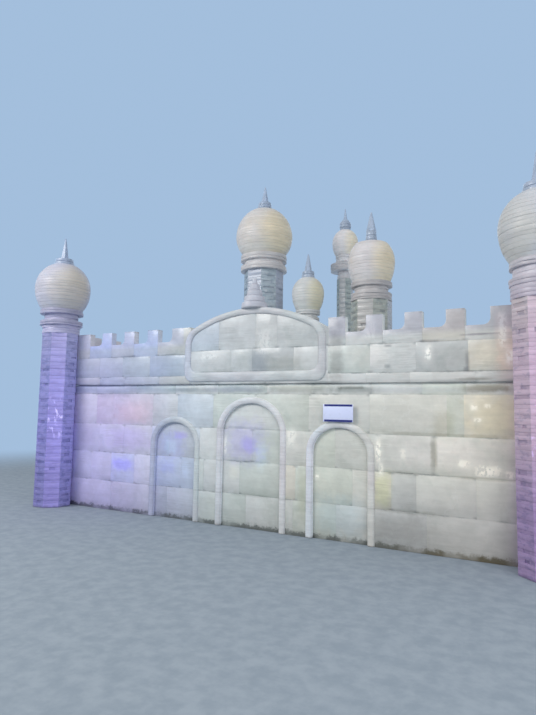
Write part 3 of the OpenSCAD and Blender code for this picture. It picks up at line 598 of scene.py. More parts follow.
def tower_ice_material(name, kind):
    """Layered ice of the towers: kind is slab, slot (the clear ice set back between two slabs, darker partly for its
    clearness and partly as painted shade in the recess) or ring.
    """
    m = Mat(name)
    pos = m.coords()
    x, y, z = m.split(pos)
    r1, r2, _ = m.split(m.attr("blk_r"))
    nx, ny, nz = normals(m)
    shifted = m.moved(pos, m.scale(m.attr("blk_r"), 3.0))
    cloud = m.noise(shifted, 4.0, 4.0, 0.55, 0.5)
    col = m.vary(cloud, 0.34, 0.66, m.attr("blk_c"), 0.95, 1.05)
    streak = m.noise(m.join(m.mul(m.add(x, y), 5.0), r2, m.mul(z, 38.0)), 1.0, 3.0, 0.6, 0.2)
    col = m.vary(streak, 0.35, 0.66, col, 0.94, 1.04)
    if kind != "ring":
        # short clear bars on the sides that show slots, and broken painted glints (painted highlights) on the others
        slant = m.span(m.math("ABSOLUTE", m.mul(nx, ny)), 0.1, 0.4)
        plain = m.math("SUBTRACT", 1.0, m.math("ABSOLUTE", m.math("SUBTRACT", slant, m.attr("plain_side", "Fac"))))
        bars = m.noise(m.join(m.mul(x, 8.0), m.mul(y, 8.0), m.mul(z, 15.0)), 1.0, 2.0, 0.6)
        bars = m.mul(m.span(bars, 0.52, 0.62), m.math("SUBTRACT", 1.0, plain), 0.8)
        col = m.tint(bars, col, (0.74, 0.78, 0.83))
        col = m.mix(plain, m.vmath("MULTIPLY", col, (0.93, 1.0, 0.93)), m.scale(col, 1.06))
        painted_glint = m.noise(m.join(m.mul(x, 15.0), m.mul(y, 15.0), m.mul(z, 7.0)), 1.0, 3.0, 0.6)
        painted_glint = m.mul(m.span(painted_glint, 0.55, 0.66), m.span(z, 1.15, 1.40), m.span(z, 2.05, 1.80), plain, 0.60)
        col = m.mix(painted_glint, col, (0.86, 0.80, 0.90))
    # the slot faces are darker: partly clearer ice, partly painted shade in their recess
    if kind == "slot":
        col = m.tint(m.span(r1, 0.0, 1.0, 0.35, 1.0, False), col, (0.70, 0.71, 0.76))
    level, _ = edge_distances(m)
    joint = m.mul(m.span(level, 0.010, 0.001), m.span(m.noise(pos, 5.0, 2.0), 0.40, 0.60), 0.10)
    col = m.mix(joint, col, (0.18, 0.21, 0.24))
    if kind == "ring":
        # painted light on the rings' undersides, so they stay bright where their shade would fall
        col = m.zone(col, (1.55, 1.55, 1.55), (nz, -0.1, -0.6))
    else:
        # painted light on the left tower's side next to the wall, where the wall shades it, and darker low down there;
        # on the rear towers painted light on the right sides and painted shade on the left sides, evening out how the
        # light falls
        next_to_wall, rear = (x, -3.4, -3.6), (y, 1.0, 1.2)
        for colour, *spans in (
                ((0.86, 0.86, 0.84), next_to_wall, (z, 1.3, 0.4)), ((1.50, 1.50, 1.38), (nx, 0.5, 0.8), next_to_wall),
                ((1.08, 1.07, 1.08), rear, (nx, 0.3, 0.7)), ((0.91, 0.91, 0.91), rear, (nx, -0.1, -0.5))):
            col = m.zone(col, colour, *spans)
    # a dark band at the foot, partly dirt and partly a painted contact shadow
    foot = m.span(m.add(z, m.mul(m.noise(pos, 7.0, 4.0, 0.65), 0.14)), 0.12, 0.06)
    col = colour_cast(m, pos, m.mix(m.mul(foot, 0.6), col, (0.18, 0.18, 0.18)), TOWER_RIGHT_END)
    h = m.add(m.mul(m.noise(shifted, 5.0, 2.0, 0.5, 0.4), 0.8), m.mul(m.noise(pos, 45.0, 3.0, 0.6), 0.10))
    low, high, coat = (0.34, 0.56, 0.12) if kind == "ring" else (0.20, 0.42, 0.3)
    return m.cloudy_ice(col, m.span(cloud, 0.3, 0.7, low, high), m.bump(h, 0.012, 0.7), coat, 0.16, 0.008)


def dome_ice_material():
    m = Mat("dome_ice")
    pos = m.coords()
    x, y, z = m.split(pos)
    r1 = m.split(m.attr("blk_r"))[0]
    nx, ny, nz = normals(m)
    cloud = m.noise(m.moved(pos, m.scale(m.attr("blk_r"), 0.35)), 3.2, 4.0, 0.58, 0.6)
    col = m.vary(cloud, 0.34, 0.66, m.attr("blk_c"), 0.95, 1.05)
    warm = m.span(m.noise(m.moved(pos, (4.0, 2.0, 9.0)), 1.6, 2.0), 0.45, 0.70)
    col = m.tint(m.mul(warm, 0.6), col, (1.04, 0.99, 0.86))
    # clearer, yellowish ice on the sides turned away from the light, with painted light there that lifts their shade;
    # painted light on the undersides, bluish low down
    col = m.zone(col, (1.17, 1.09, 0.85), (m.add(nx, m.mul(ny, -0.35)), 0.45, 1.05))
    col = m.zone(col, (1.12, 1.16, 1.14), (nz, -0.15, -0.65))
    # some courses clearer than others
    col = m.scale(col, m.span(r1, 0.0, 1.0, 0.955, 1.035, False))
    level, _ = edge_distances(m)
    joint = m.mul(m.span(level, 0.012, 0.001), m.span(m.noise(pos, 3.5, 3.0), 0.40, 0.64, 0.12, 1.0), 0.10)
    col = colour_cast(m, pos, m.mix(joint, col, (0.30, 0.30, 0.27)), TOWER_RIGHT_END)
    fine = m.noise(m.join(m.mul(x, 14.0), m.mul(y, 14.0), m.mul(z, 46.0)), 1.0, 3.0, 0.6)
    h = m.add(m.mul(m.noise(pos, 5.0, 2.0), 0.9), m.mul(fine, 0.10))
    rough = m.span(cloud, 0.3, 0.7, 0.54, 0.34)
    return m.cloudy_ice(col, rough, m.bump(h, 0.012, 0.5), 0.12, 0.25, 0.010, (0.7, 0.95, 1.0))


def clear_ice_material():
    m = Mat("clear_ice")
    pos = m.coords()
    haze = m.noise(pos, 12.0, 4.0, 0.6)
    core = m.node("ShaderNodeLayerWeight")
    core.inputs["Blend"].default_value = 0.35
    rim = core.outputs["Facing"]
    col = colour_cast(m, pos, m.mix(m.span(haze, 0.35, 0.65), (0.43, 0.50, 0.60), (0.50, 0.56, 0.66)))
    m.set(Base_Color=col, Roughness=m.span(haze, 0.35, 0.70, 0.26, 0.40),
          Normal=m.bump(m.noise(pos, 22.0, 2.0), 0.001, 0.3))
    m.set(IOR=ICE_IOR, Transmission_Weight=m.span(rim, 0.2, 0.9, 0.30, 0.06), Coat_Weight=0.2, Coat_Roughness=0.14)
    return m.mat


def snow_material():
    m = Mat("packed_snow")
    pos = m.coords()
    col = m.mix(m.span(m.noise(pos, 1.4, 4.0, 0.6), 0.35, 0.65), (0.56, 0.60, 0.66), (0.68, 0.71, 0.75))
    col = m.mix(m.span(m.noise(pos, 5.0, 4.0, 0.7), 0.60, 0.78), col, (0.44, 0.44, 0.44))
    h = m.add(m.mul(m.noise(pos, 11.0, 4.0, 0.6), 0.8), m.mul(m.noise(pos, 90.0, 4.0, 0.7), 0.25))
    m.set(Base_Color=col, Roughness=0.85, Normal=m.bump(h, 0.02, 0.9))
    m.set(Subsurface_Weight=0.1, Subsurface_Radius=(0.5, 0.8, 1.0), Subsurface_Scale=0.02)
    return m.mat


def sheet_material(name, colour, rough, worn):
    m = Mat(name)
    pos = m.coords()
    n = m.noise(pos, 40.0, 4.0, 0.6)
    col = m.mix(m.mul(m.span(n, 0.52, 0.75), 0.35), colour, worn)
    m.set(Base_Color=col, Roughness=m.span(n, 0.3, 0.7, rough - 0.06, rough + 0.1),
          Normal=m.bump(m.noise(pos, 14.0, 2.0), 0.002, 0.5))
    return m.mat


WALL_ICE = ice_block_material("ice_block", False)
FRONT_ICE = ice_block_material("ice_block_front", True)
CARVED_ICE = carved_ice_material()
TOWER_ICE = tower_ice_material("tower_ice", "slab")
SLOT_ICE = tower_ice_material("tower_slot_ice", "slot")
RING_ICE = tower_ice_material("tower_ring_ice", "ring")
DOME_ICE = dome_ice_material()
CLEAR_ICE = clear_ice_material()
SNOW = snow_material()
PLATE_WHITE = sheet_material("plate_white", (0.62, 0.66, 0.86), 0.35, (0.48, 0.52, 0.62))
PLATE_BLUE = sheet_material("plate_blue", (0.010, 0.016, 0.16), 0.35, (0.05, 0.06, 0.20))

# Kinds of ice that the blocks were cut from: milky, pale, grey, cream, bluish, greenish, rosy
KINDS = {"m": (0.650, 0.655, 0.620), "p": (0.620, 0.630, 0.603), "g": (0.565, 0.580, 0.562),
         "c": (0.665, 0.645, 0.575), "b": (0.585, 0.625, 0.645), "n": (0.600, 0.630, 0.580),
         "r": (0.655, 0.618, 0.620)}


# Outlines

def half_round(x, half, spring, rise):
    turns = [math.pi * i / CURVE for i in range(CURVE + 1)]
    return [(x + half * math.cos(a), spring + rise * math.sin(a)) for a in turns]


def arch_poly(x, half, top, rise):
    foot = -0.02
    return [(x - half, foot), (x + half, foot)] + half_round(x, half, top - rise, rise)


def tool_prism(poly, y0, y1):
    bm = bmesh.new()
    add_prism(bm, poly, lambda u, d, w: Vector((u, d, w)), y0, y1)
    return bm_object("tool", bm)


ARCHES = []
for side in ("left", "middle", "right"):
    lo, hi = lo_hi("arch_moulding_" + side)
    rise = 0.545 if side == "middle" else 0.45
    ARCHES.append((side, (lo.x + hi.x) / 2, (hi.x - lo.x) / 2, hi.z, rise))


# Front wall

def at_front(u, d, w):
    return Vector((u, FRONT_Y + d, w))


# Rows of blocks: bottom, top, joints along x and the kinds of ice between them
FRONT_COURSES = [
    (0.0, 0.5, [-2.85, -1.96, -0.98, -0.06, 0.74, 1.80, 2.66], "ppbnpngp"),
    (0.5, 1.0, [-3.36, -2.87, -2.33, -1.40, -0.86, 0.10, 0.78, 1.64, 2.20, 2.53, 3.27], "gpbpnpcncgpp"),
    (1.0, 1.5, [-3.19, -2.60, -1.95, -0.95, -0.40, 0.30, 1.12, 2.02, 2.77], "pmmbmpmppm"),
    (1.5, WALL_TOP, [-3.28, -2.88, -1.95, -1.42, -0.70, 0.10, 0.98, 1.90, 2.93, 3.14], "mrrpbnnpmnc"),
]
FIELD_COURSES = {
    "left": [(0.0, 0.5, [-1.62], "gp"), (0.5, 1.0, [-1.33], "bb"), (1.0, 1.75, [-1.60], "nm")],
    "middle": [(0.0, 0.5, [-0.08], "np"), (0.5, 1.0, [-0.20], "mn"), (1.0, 1.5, [0.02], "mn"), (1.5, 2.1, [], "p")],
    "right": [(0.0, 0.5, [1.40], "np"), (0.5, 1.0, [1.64], "nm"), (1.0, 1.75, [1.38], "np")],
}


def tint_by(rows, low):
    """A tint function for rows of blocks: each gets its kind's colour times a factor from low to low + 0.04."""
    def tint(mid, rng):
        for z0, z1, joints, kinds in rows:
            if z0 <= mid[2] < z1:
                kind = kinds[sum(mid[0] > j for j in joints)]
                return Vector(KINDS[kind]) * (low + 0.04 * rng.random())
        return KINDS["p"]
    return tint


def course_blocks(bm, rng, place, u0, u1, w0, w1, joints, depth, bevel=0.0):
    edges = [u0] + [j for j in joints if u0 + LEAST_BLOCK < j < u1 - LEAST_BLOCK] + [u1]
    for a, b in zip(edges, edges[1:]):
        add_prism(bm, rect(a + GAP, b - GAP, w0 + GAP, w1 - GAP), place, 0.0, depth, bevel,
                  shift=rng.uniform(0.0, 0.003))


def build_front_wall():
    rng = random.Random(11)
    bm = bmesh.new()
    for z0, z1, joints, _ in FRONT_COURSES:
        course_blocks(bm, rng, at_front, -HALF_W, HALF_W, z0, z1, joints, WALL_T)
    ob = bm_object("front_wall_blocks", bm, FRONT_ICE)
    hidden = MOULDING_W * 0.6
    for side, x, half, top, rise in ARCHES:
        opening = arch_poly(x, half - hidden, top - hidden, rise - hidden)
        cut(ob, tool_prism(opening, FRONT_Y - 0.1, 0.60), "DIFFERENCE")
    bevel_edges(ob, CUT_BEVEL)
    smooth_by_angle(ob)
    tag_blocks(ob, 21, tint_by(FRONT_COURSES, 0.98))
    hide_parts("front_wall")
    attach(ob, "root")

    # the shallow fields behind the arches
    hidden += 0.002
    for side, x, half, top, rise in ARCHES:
        bm = bmesh.new()
        for z0, z1, joints, _ in FIELD_COURSES[side]:
            course_blocks(bm, rng, lambda u, d, w: Vector((u, FRONT_Y + FIELD + d, w)),
                          x - half, x + half, z0, z1, joints, FIELD_T)
        ob = bm_object("arch_field_" + side, bm, FRONT_ICE)
        opening = arch_poly(x, half - hidden, top - hidden, rise - hidden)
        cut(ob, tool_prism(opening, -1.0, 1.0), "INTERSECT")
        bevel_edges(ob, CUT_BEVEL)
        smooth_by_angle(ob)
        tag_blocks(ob, 31, tint_by(FIELD_COURSES[side], 1.03))
        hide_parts("front_wall")
        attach(ob, "root")


def build_slab_course():
    rng = random.Random(12)
    bm = bmesh.new()
    joints = [-3.30, -2.34, -1.47, -0.62, 0.28, 1.05, 1.93, 2.62, 3.17]
    course_blocks(bm, rng, at_front, -HALF_W, HALF_W, WALL_TOP, DECK_ICE, joints, WALL_T, SLAB_BEVEL)
    ob = bm_object("front_slabs", bm, FRONT_ICE)
    smooth_by_angle(ob)
    tag_blocks(ob, 22, lambda mid, r: Vector(KINDS[r.choice("mpppn")]) * (0.97 + 0.05 * r.random()))
    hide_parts("front_slab_course")
    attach(ob, "root")


def build_plain_wall(node, place, u0, u1, seed):
    """A wall that the photo does not show: the front wall's courses and blocks."""
    rng = random.Random(seed)
    bm = bmesh.new()
    levels = COURSES + [DECK_ICE]
    for w0, w1 in zip(levels, levels[1:]):
        joints = []
        u = u0 + rng.uniform(0.45, 1.0)
        while u < u1:
            joints.append(u)
            u += rng.uniform(0.72, 1.06)
        course_blocks(bm, rng, place, u0, u1, w0, w1, joints, WALL_T, WORN_BEVEL)
    ob = bm_object(node + "_blocks", bm, WALL_ICE)
    smooth_by_angle(ob)
    tag_blocks(ob, seed + 1, lambda mid, r: KINDS[r.choice("mmpppggcbbnn")])
    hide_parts(node)
    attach(ob, "root")


# Parapets

P_LO, P_HI = lo_hi("front_parapet_left")
PARAPET_HALF = -P_LO.x
PARAPET_Y = P_LO.y
PARAPET_T = P_HI.y - P_LO.y
PARAPET_TOP = P_HI.z
NOTCH_H, NOTCH_W, MERLON_W, END_W = 0.226, 0.305, 0.235, 0.418
MERLON_STEP = NOTCH_W + MERLON_W
NOTCH_R = 0.090
BASE_TOP = DECK + 0.135
NOTCH_Z = PARAPET_TOP - NOTCH_H


def merlon_poly(u0, m0, u1, w0, left_notch=True):
    """A slab from u0 to u1 whose merlon starts at m0; the notch is to its left, round where it meets the merlon."""
    pts = [(u0 + GAP, w0 + GAP), (u1 - GAP, w0 + GAP), (u1 - GAP, PARAPET_TOP)]
    if not left_notch:
        return pts + [(u0 + GAP, PARAPET_TOP)]
    pts.append((m0, PARAPET_TOP))
    for i in range(9):
        a = math.pi / 2 * i / 8
        pts.append((m0 - NOTCH_R + NOTCH_R * math.cos(a), NOTCH_Z + NOTCH_R - NOTCH_R * math.sin(a)))
    return pts + [(u0 + GAP, NOTCH_Z)]


def parapet_pieces(bm, rng, place, run, first_w, count, seam, known):
    """Base slabs, one course of blocks and the merlon slabs of a parapet from u = 0 to u = run."""
    def slab(poly, bevel):
        add_prism(bm, poly, place, 0.0, PARAPET_T, bevel, shift=rng.uniform(0.0, 0.002))

    def line(w0, w1, lo, hi, known=()):
        u = 0.0
        while u < run - 0.01:
            v = u + rng.uniform(lo, hi)
            v = next((k for k in known if k > u + 0.1), v)
            if run - v < 0.28:
                v = run
            slab(rect(u + GAP, v - GAP, w0 + GAP, w1 - GAP), SLAB_BEVEL)
            u = v
    line(DECK, BASE_TOP, 0.55, 0.95)
    line(BASE_TOP, seam, 0.60, 0.98, known)
    slab(merlon_poly(0.0, 0.0, first_w, seam, False), MERLON_BEVEL)
    u = first_w
    for i in range(count):
        end = u + MERLON_STEP if i < count - 1 else run
        slab(merlon_poly(u, u + NOTCH_W, end, seam), MERLON_BEVEL)
        u = end


def build_parapet(node, place, run, first_w, count, seed, seam, known=(), kinds=""):
    """known and kinds: where the course's joints lie along the parapet and the kinds of ice between them."""
    rng = random.Random(seed)
    bm = bmesh.new()
    parapet_pieces(bm, rng, place, run, first_w, count, seam, known)
    ob = bm_object(node + "_slabs", bm, FRONT_ICE if "front" in node else WALL_ICE)
    smooth_by_angle(ob)

    def tint(mid, r):
        kind = r.choice("mmmppbc")
        if kinds and BASE_TOP < mid[2] < seam:
            kind = kinds[sum(1 for k in known if mid[0] > place(k, 0.0, 0.0).x)]
        return Vector(KINDS[kind]) * (0.97 + 0.05 * r.random())
    tag_blocks(ob, seed + 5, tint)
    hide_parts(node)
    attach(ob, "root")


def notches(run, end_w=MERLON_W):
    """How many notches fit in a parapet, and the length that is left for its two end merlons."""
    n = math.floor((run - end_w) / MERLON_STEP)
    return n, run - n * NOTCH_W - (n - 1) * MERLON_W


def build_parapets():
    left_run, right_run = P_HI.x - P_LO.x, PARAPET_HALF - P_HALF
    n, _ = notches(left_run, END_W)
    build_parapet("front_parapet_left", lambda u, d, w: Vector((-PARAPET_HALF + u, PARAPET_Y + d, w)),
                  left_run, END_W, n, 41, DECK + 0.49, (0.69, 1.25, 1.88), "mpnb")
    n, rest = notches(right_run, END_W)
    build_parapet("front_parapet_right", lambda u, d, w: Vector((P_HALF + u, PARAPET_Y + d, w)),
                  right_run, rest - END_W, n, 43, DECK + 0.53, tuple(x - P_HALF for x in (1.92, 2.55, 3.21)), "npgc")
    lo, hi = lo_hi("side_parapet_right")
    n, rest = notches(hi.y - lo.y)
    build_parapet("side_parapet_right", lambda u, d, w: Vector((PARAPET_HALF - d, lo.y + u, w)),
                  hi.y - lo.y, rest / 2, n, 45, DECK + 0.51)
    build_parapet("side_parapet_left", lambda u, d, w: Vector((-PARAPET_HALF + d, hi.y - u, w)),
                  hi.y - lo.y, rest / 2, n, 47, DECK + 0.51)
    blo, bhi = lo_hi("back_parapet")
    n, rest = notches(bhi.x - blo.x)
    build_parapet("back_parapet", lambda u, d, w: Vector((PARAPET_HALF - u, bhi.y - d, w)),
                  bhi.x - blo.x, rest / 2, n, 49, DECK + 0.51)


# Pediment

CROWN = PANEL_HI.z
P_RISE = 0.392
P_R = (P_HALF ** 2 + P_RISE ** 2) / (2 * P_RISE)
P_CENTRE = CROWN - P_R
FRAME_SIDE, FRAME_TOP_W, FRAME_BOTTOM_W = 0.12, 0.10, 0.155
FRAME_R, FRAME_IN_R, SHOULDER_R, SHOULDER_IN_R = 0.15, 0.15, 0.30, 0.24


def arc(x, z, r, a0, a1, n):
    return [(x + r * math.cos(a0 + (a1 - a0) * i / n), z + r * math.sin(a0 + (a1 - a0) * i / n)) for i in range(n + 1)]


def build_pediment():
    bm = bmesh.new()
    place = lambda u, d, w: Vector((u, PANEL_LO.y + d, w))
    rng = random.Random(15)
    rows = [(DECK, 2.39, [-0.62, 0.28], "pmpm"), (2.39, 2.74, [-0.36, 0.03, 0.74], "mpgp"),
            (2.74, CROWN, [-0.60, 0.08, 0.46], "bpmp")]
    for w0, w1, joints, _ in rows:
        course_blocks(bm, rng, place, PANEL_LO.x, P_HALF, w0, w1, joints, PANEL_HI.y - PANEL_LO.y)
    ob = bm_object("pediment_blocks", bm, FRONT_ICE)
    lean = math.acos(P_HALF / P_R)
    outline = [(-P_HALF, DECK - 0.05), (P_HALF, DECK - 0.05)] + arc(0, P_CENTRE, P_R, lean, math.pi - lean, CURVE)
    cut(ob, tool_prism(outline, -1.0, 1.0), "INTERSECT")
    bevel_edges(ob, SLAB_BEVEL)
    smooth_by_angle(ob)
    tag_blocks(ob, 25, tint_by(rows, 0.98))
    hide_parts("pediment_panel")
    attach(ob, "root")


def band_piece(bm, path, y0, reach, rng, back, closed):
    """A rolled band along a path of (outer, inner) point pairs, swelling and narrowing a little on the way."""
    rings = []
    pha = [rng.uniform(0, 6.28) for _ in range(3)]
    for n, ((ou, ow), (iu, iw)) in enumerate(path):
        t = 2 * math.pi * n / len(path)
        swell = 1.0 + 0.03 * (math.sin(3 * t + pha[0]) + math.sin(7 * t + pha[1]) - 2) / 2
        ring = []
        for k in range(BAND_STEPS + 1):
            a = math.pi * k / BAND_STEPS
            share = 0.5 - 0.5 * math.cos(a)
            depth = reach * swell * math.sin(a) ** 0.9
            ring.append(bm.verts.new((ou + (iu - ou) * share, y0 - depth, ow + (iw - ow) * share)))
        ring.append(bm.verts.new((iu, y0 + back, iw)))
        ring.append(bm.verts.new((ou, y0 + back, ow)))
        rings.append(ring)
    skin(bm, rings, closed)


def lerp_path(outer, inner, stations):
    """Point pairs at the given stations (0 to 1) along two polylines with the same number of points."""
    mid = [((a[0] + b[0]) / 2, (a[1] + b[1]) / 2) for a, b in zip(outer, inner)]
    d = [0.0]
    for a, b in zip(mid, mid[1:]):
        d.append(d[-1] + math.dist(a, b))
    out = []
    for s in stations:
        t = s * d[-1]
        i = next((k for k in range(len(d) - 1) if d[k + 1] >= t), len(d) - 2)
        f = 0.0 if d[i + 1] == d[i] else (t - d[i]) / (d[i + 1] - d[i])
        pick = lambda p: (p[i][0] + (p[i + 1][0] - p[i][0]) * f, p[i][1] + (p[i + 1][1] - p[i][1]) * f)
        out.append((pick(outer), pick(inner)))
    return out


def build_band(name, node, outer, inner, y0, reach, back, seed, steps, closed=False):
    rng = random.Random(seed)
    bm = bmesh.new()
    stations = [k / steps for k in range(steps if closed else steps + 1)]
    band_piece(bm, lerp_path(outer, inner, stations), y0, reach, rng, back, closed)
    ob = bm_object(name, bm, CARVED_ICE)
    smooth_by_angle(ob, 50)
    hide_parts(node)
    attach(ob, "root")


def build_mouldings():
    foot, steps = 0.004, 12
    for side, x, half, top, rise in ARCHES:
        def line(h, t, r):
            spring = t - r
            up = [(x + h, foot + (spring - foot) * i / steps) for i in range(steps)]
            down = [(x - h, spring - (spring - foot) * i / steps) for i in range(1, steps + 1)]
            return up + half_round(x, h, spring, r) + down
        outer = line(half, top, rise)
        inner = line(half - MOULDING_W, top - MOULDING_W, rise - MOULDING_W)
        build_band("moulding_roll_" + side, "arch_moulding_" + side, outer, inner, FRONT_Y, BAND_REACH,
                   RECESS, 60 + len(side), 90)


def frame_line(half, bottom, top_r, r, shoulder_r):
    """The frame band's outline as the CAD draws it, from the middle of its foot round to the same place."""
    sx = half - shoulder_r
    rise = math.sqrt((top_r - shoulder_r) ** 2 - sx ** 2)
    lean = math.atan2(rise, sx)
    sz = P_CENTRE + rise
    quarter = math.pi / 2
    pts = [((half - r) * i / 8, bottom) for i in range(8)]
    pts += arc(half - r, bottom + r, r, -quarter, 0.0, 8)
    pts += arc(sx, sz, shoulder_r, 0.0, lean, 8)[:-1]
    pts += arc(0, P_CENTRE, top_r, lean, math.pi - lean, CURVE)
    pts += arc(-sx, sz, shoulder_r, math.pi - lean, math.pi, 8)[1:]
    pts += arc(-half + r, bottom + r, r, math.pi, math.pi + quarter, 8)
    pts += [(-(half - r) * (1 - i / 8), bottom) for i in range(1, 9)]
    return pts


def build_frame():
    half, bottom = FRAME_HI.x, FRAME_LO.z
    outer = frame_line(half, bottom, P_R, FRAME_R, SHOULDER_R)
    inner = frame_line(half - FRAME_SIDE, bottom + FRAME_BOTTOM_W, P_R - FRAME_TOP_W, FRAME_IN_R, SHOULDER_IN_R)
    build_band("pediment_frame_roll", "pediment_frame", outer, inner, PANEL_LO.y, BAND_REACH, 0.0, 71, 150, True)


# Round pieces

def lathe_part(bm, cx, cy, profile, seg, wob, rng, turn=0.0):
    """A closed turned piece: profile is a list of (r, z) from the bottom axis to the top axis."""
    part = bmesh.new()
    amp = [rng.uniform(-wob, wob) for _ in range(4)]
    pha = [rng.uniform(0, 6.28) for _ in range(4)]
    rings = []
    for r, z in profile:
        ring = []
        for k in range(seg):
            a = 2 * math.pi * k / seg + turn
            rr = r + sum(amp[i] * math.sin((i + 2) * a + pha[i]) for i in range(4))
            ring.append(part.verts.new((cx + rr * math.cos(a), cy + rr * math.sin(a), z)))
        rings.append(ring)
    skin(part, rings)
    join_bm(bm, part)


def axis_of(node):
    lo, hi = lo_hi(node)
    return lo, hi, (lo.x + hi.x) / 2, (lo.y + hi.y) / 2


def layer_profile(r0, r1, z0, z1, b):
    """A slab's edge from z0 to z1 with rounded corners."""
    return [(max(r0 - b * 1.6, 0.01), z0), (r0 - b * 0.3, z0 + b * 0.5), (r0, z0 + b * 1.4),
            (r1, z1 - b * 1.4), (r1 - b * 0.3, z1 - b * 0.5), (max(r1 - b * 1.6, 0.01), z1)]


DOMES = {
    # node: foot width, height of the widest place, top width, layer height
    "corner_left": (0.720, 0.41, 0.43, 0.055),
    "corner_right": (0.660, 0.41, 0.43, 0.055),
    "rear_left": (0.800, 0.40, 0.54, 0.056),
    "rear_right": (0.668, 0.40, 0.60, 0.058),
    "middle_turret": (0.426, 0.34, 0.26, 0.052),
    "back_turret": (0.422, 0.285, 0.27, 0.052),
}


def dome_r(z, w, foot_w, belly, top_w, h):
    below = belly / math.sqrt(1 - (foot_w / w) ** 2)
    above = (h - belly) / math.sqrt(1 - (top_w / w) ** 2)
    return w / 2 * math.sqrt(max(0.0, 1 - ((z - belly) / (below if z < belly else above)) ** 2))


DOME_TINTS = {
    "corner_left": (0.49, 0.48, 0.53), "corner_right": (0.51, 0.515, 0.515), "rear_left": (0.60, 0.55, 0.505),
    "rear_right": (0.60, 0.565, 0.56), "middle_turret": (0.54, 0.54, 0.525), "back_turret": (0.67, 0.64, 0.635),
}


def build_dome(tower, seed):
    node = tower + "_dome"
    lo, hi, cx, cy = axis_of(node)
    w, h = hi.x - lo.x, hi.z - lo.z
    foot_w, belly, top_w, step = DOMES[tower]
    rng = random.Random(seed)
    bm = bmesh.new()
    n = round(h / step)
    seg = 72 if w > 0.7 else 56
    z = 0.0
    for i in range(n):
        z1 = h * (i + 1) / n + (rng.uniform(-0.006, 0.006) if i < n - 1 else 0.0)
        j = rng.uniform(-0.0016, 0.0)
        edge = [(dome_r(z + (z1 - z) * t, w - 0.003, foot_w, belly, top_w, h) + j, lo.z + z + (z1 - z) * t)
                for t in (0.05, 0.35, 0.65, 0.95)]
        edge = [(edge[0][0] - 0.002, lo.z + z + LAYER_GAP)] + edge + [(edge[3][0] - 0.002, lo.z + z1 - LAYER_GAP)]
        lathe_part(bm, cx, cy, edge, seg, 0.0008, rng, rng.uniform(0, 1))
        z = z1
    ob = bm_object(node + "_layers", bm, DOME_ICE)
    smooth_by_angle(ob, 50)
    tag_blocks(ob, seed + 1, lambda mid, r: Vector(DOME_TINTS[tower]))
    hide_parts(node)
    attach(ob, "root")


def octagon(cx, cy, apothems, turn=0.0):
    """An eight-sided outline with its own distance from the axis for each side."""
    pts = []
    for i in range(8):
        a0, a1 = math.radians(45 * i) + turn, math.radians(45 * (i + 1)) + turn
        d0, d1 = apothems[i], apothems[(i + 1) % 8]
        det = math.cos(a0) * math.sin(a1) - math.sin(a0) * math.cos(a1)
        pts.append((cx + (d0 * math.sin(a1) - d1 * math.sin(a0)) / det,
                    cy + (d1 * math.cos(a0) - d0 * math.cos(a1)) / det))
    return pts


TOWER_TINTS = {
    "corner_left": (0.31, 0.29, 0.445), "corner_right": (0.56, 0.50, 0.465), "rear_left": (0.36, 0.385, 0.435),
    "rear_right": (0.41, 0.40, 0.385), "middle_turret": (0.50, 0.51, 0.50), "back_turret": (0.47, 0.48, 0.48),
}


def slotted(corners, cx, cy, slots):
    """An eight-sided outline with a slot cut into some sides: side number -> (share of its start, its end, depth)."""
    pts = []
    for i in range(8):
        a, b = corners[i], corners[(i + 1) % 8]
        pts.append(a)
        if i in slots:
            start, end, depth = slots[i]
            mx, my = (a[0] + b[0]) / 2 - cx, (a[1] + b[1]) / 2 - cy
            k = depth / math.hypot(mx, my)
            for t, inward in ((start, 0), (start + 0.02, 1), (end - 0.02, 1), (end, 0)):
                x, y = a[0] + (b[0] - a[0]) * t, a[1] + (b[1] - a[1]) * t
                pts.append((x - mx * k * inward, y - my * k * inward))
    return pts


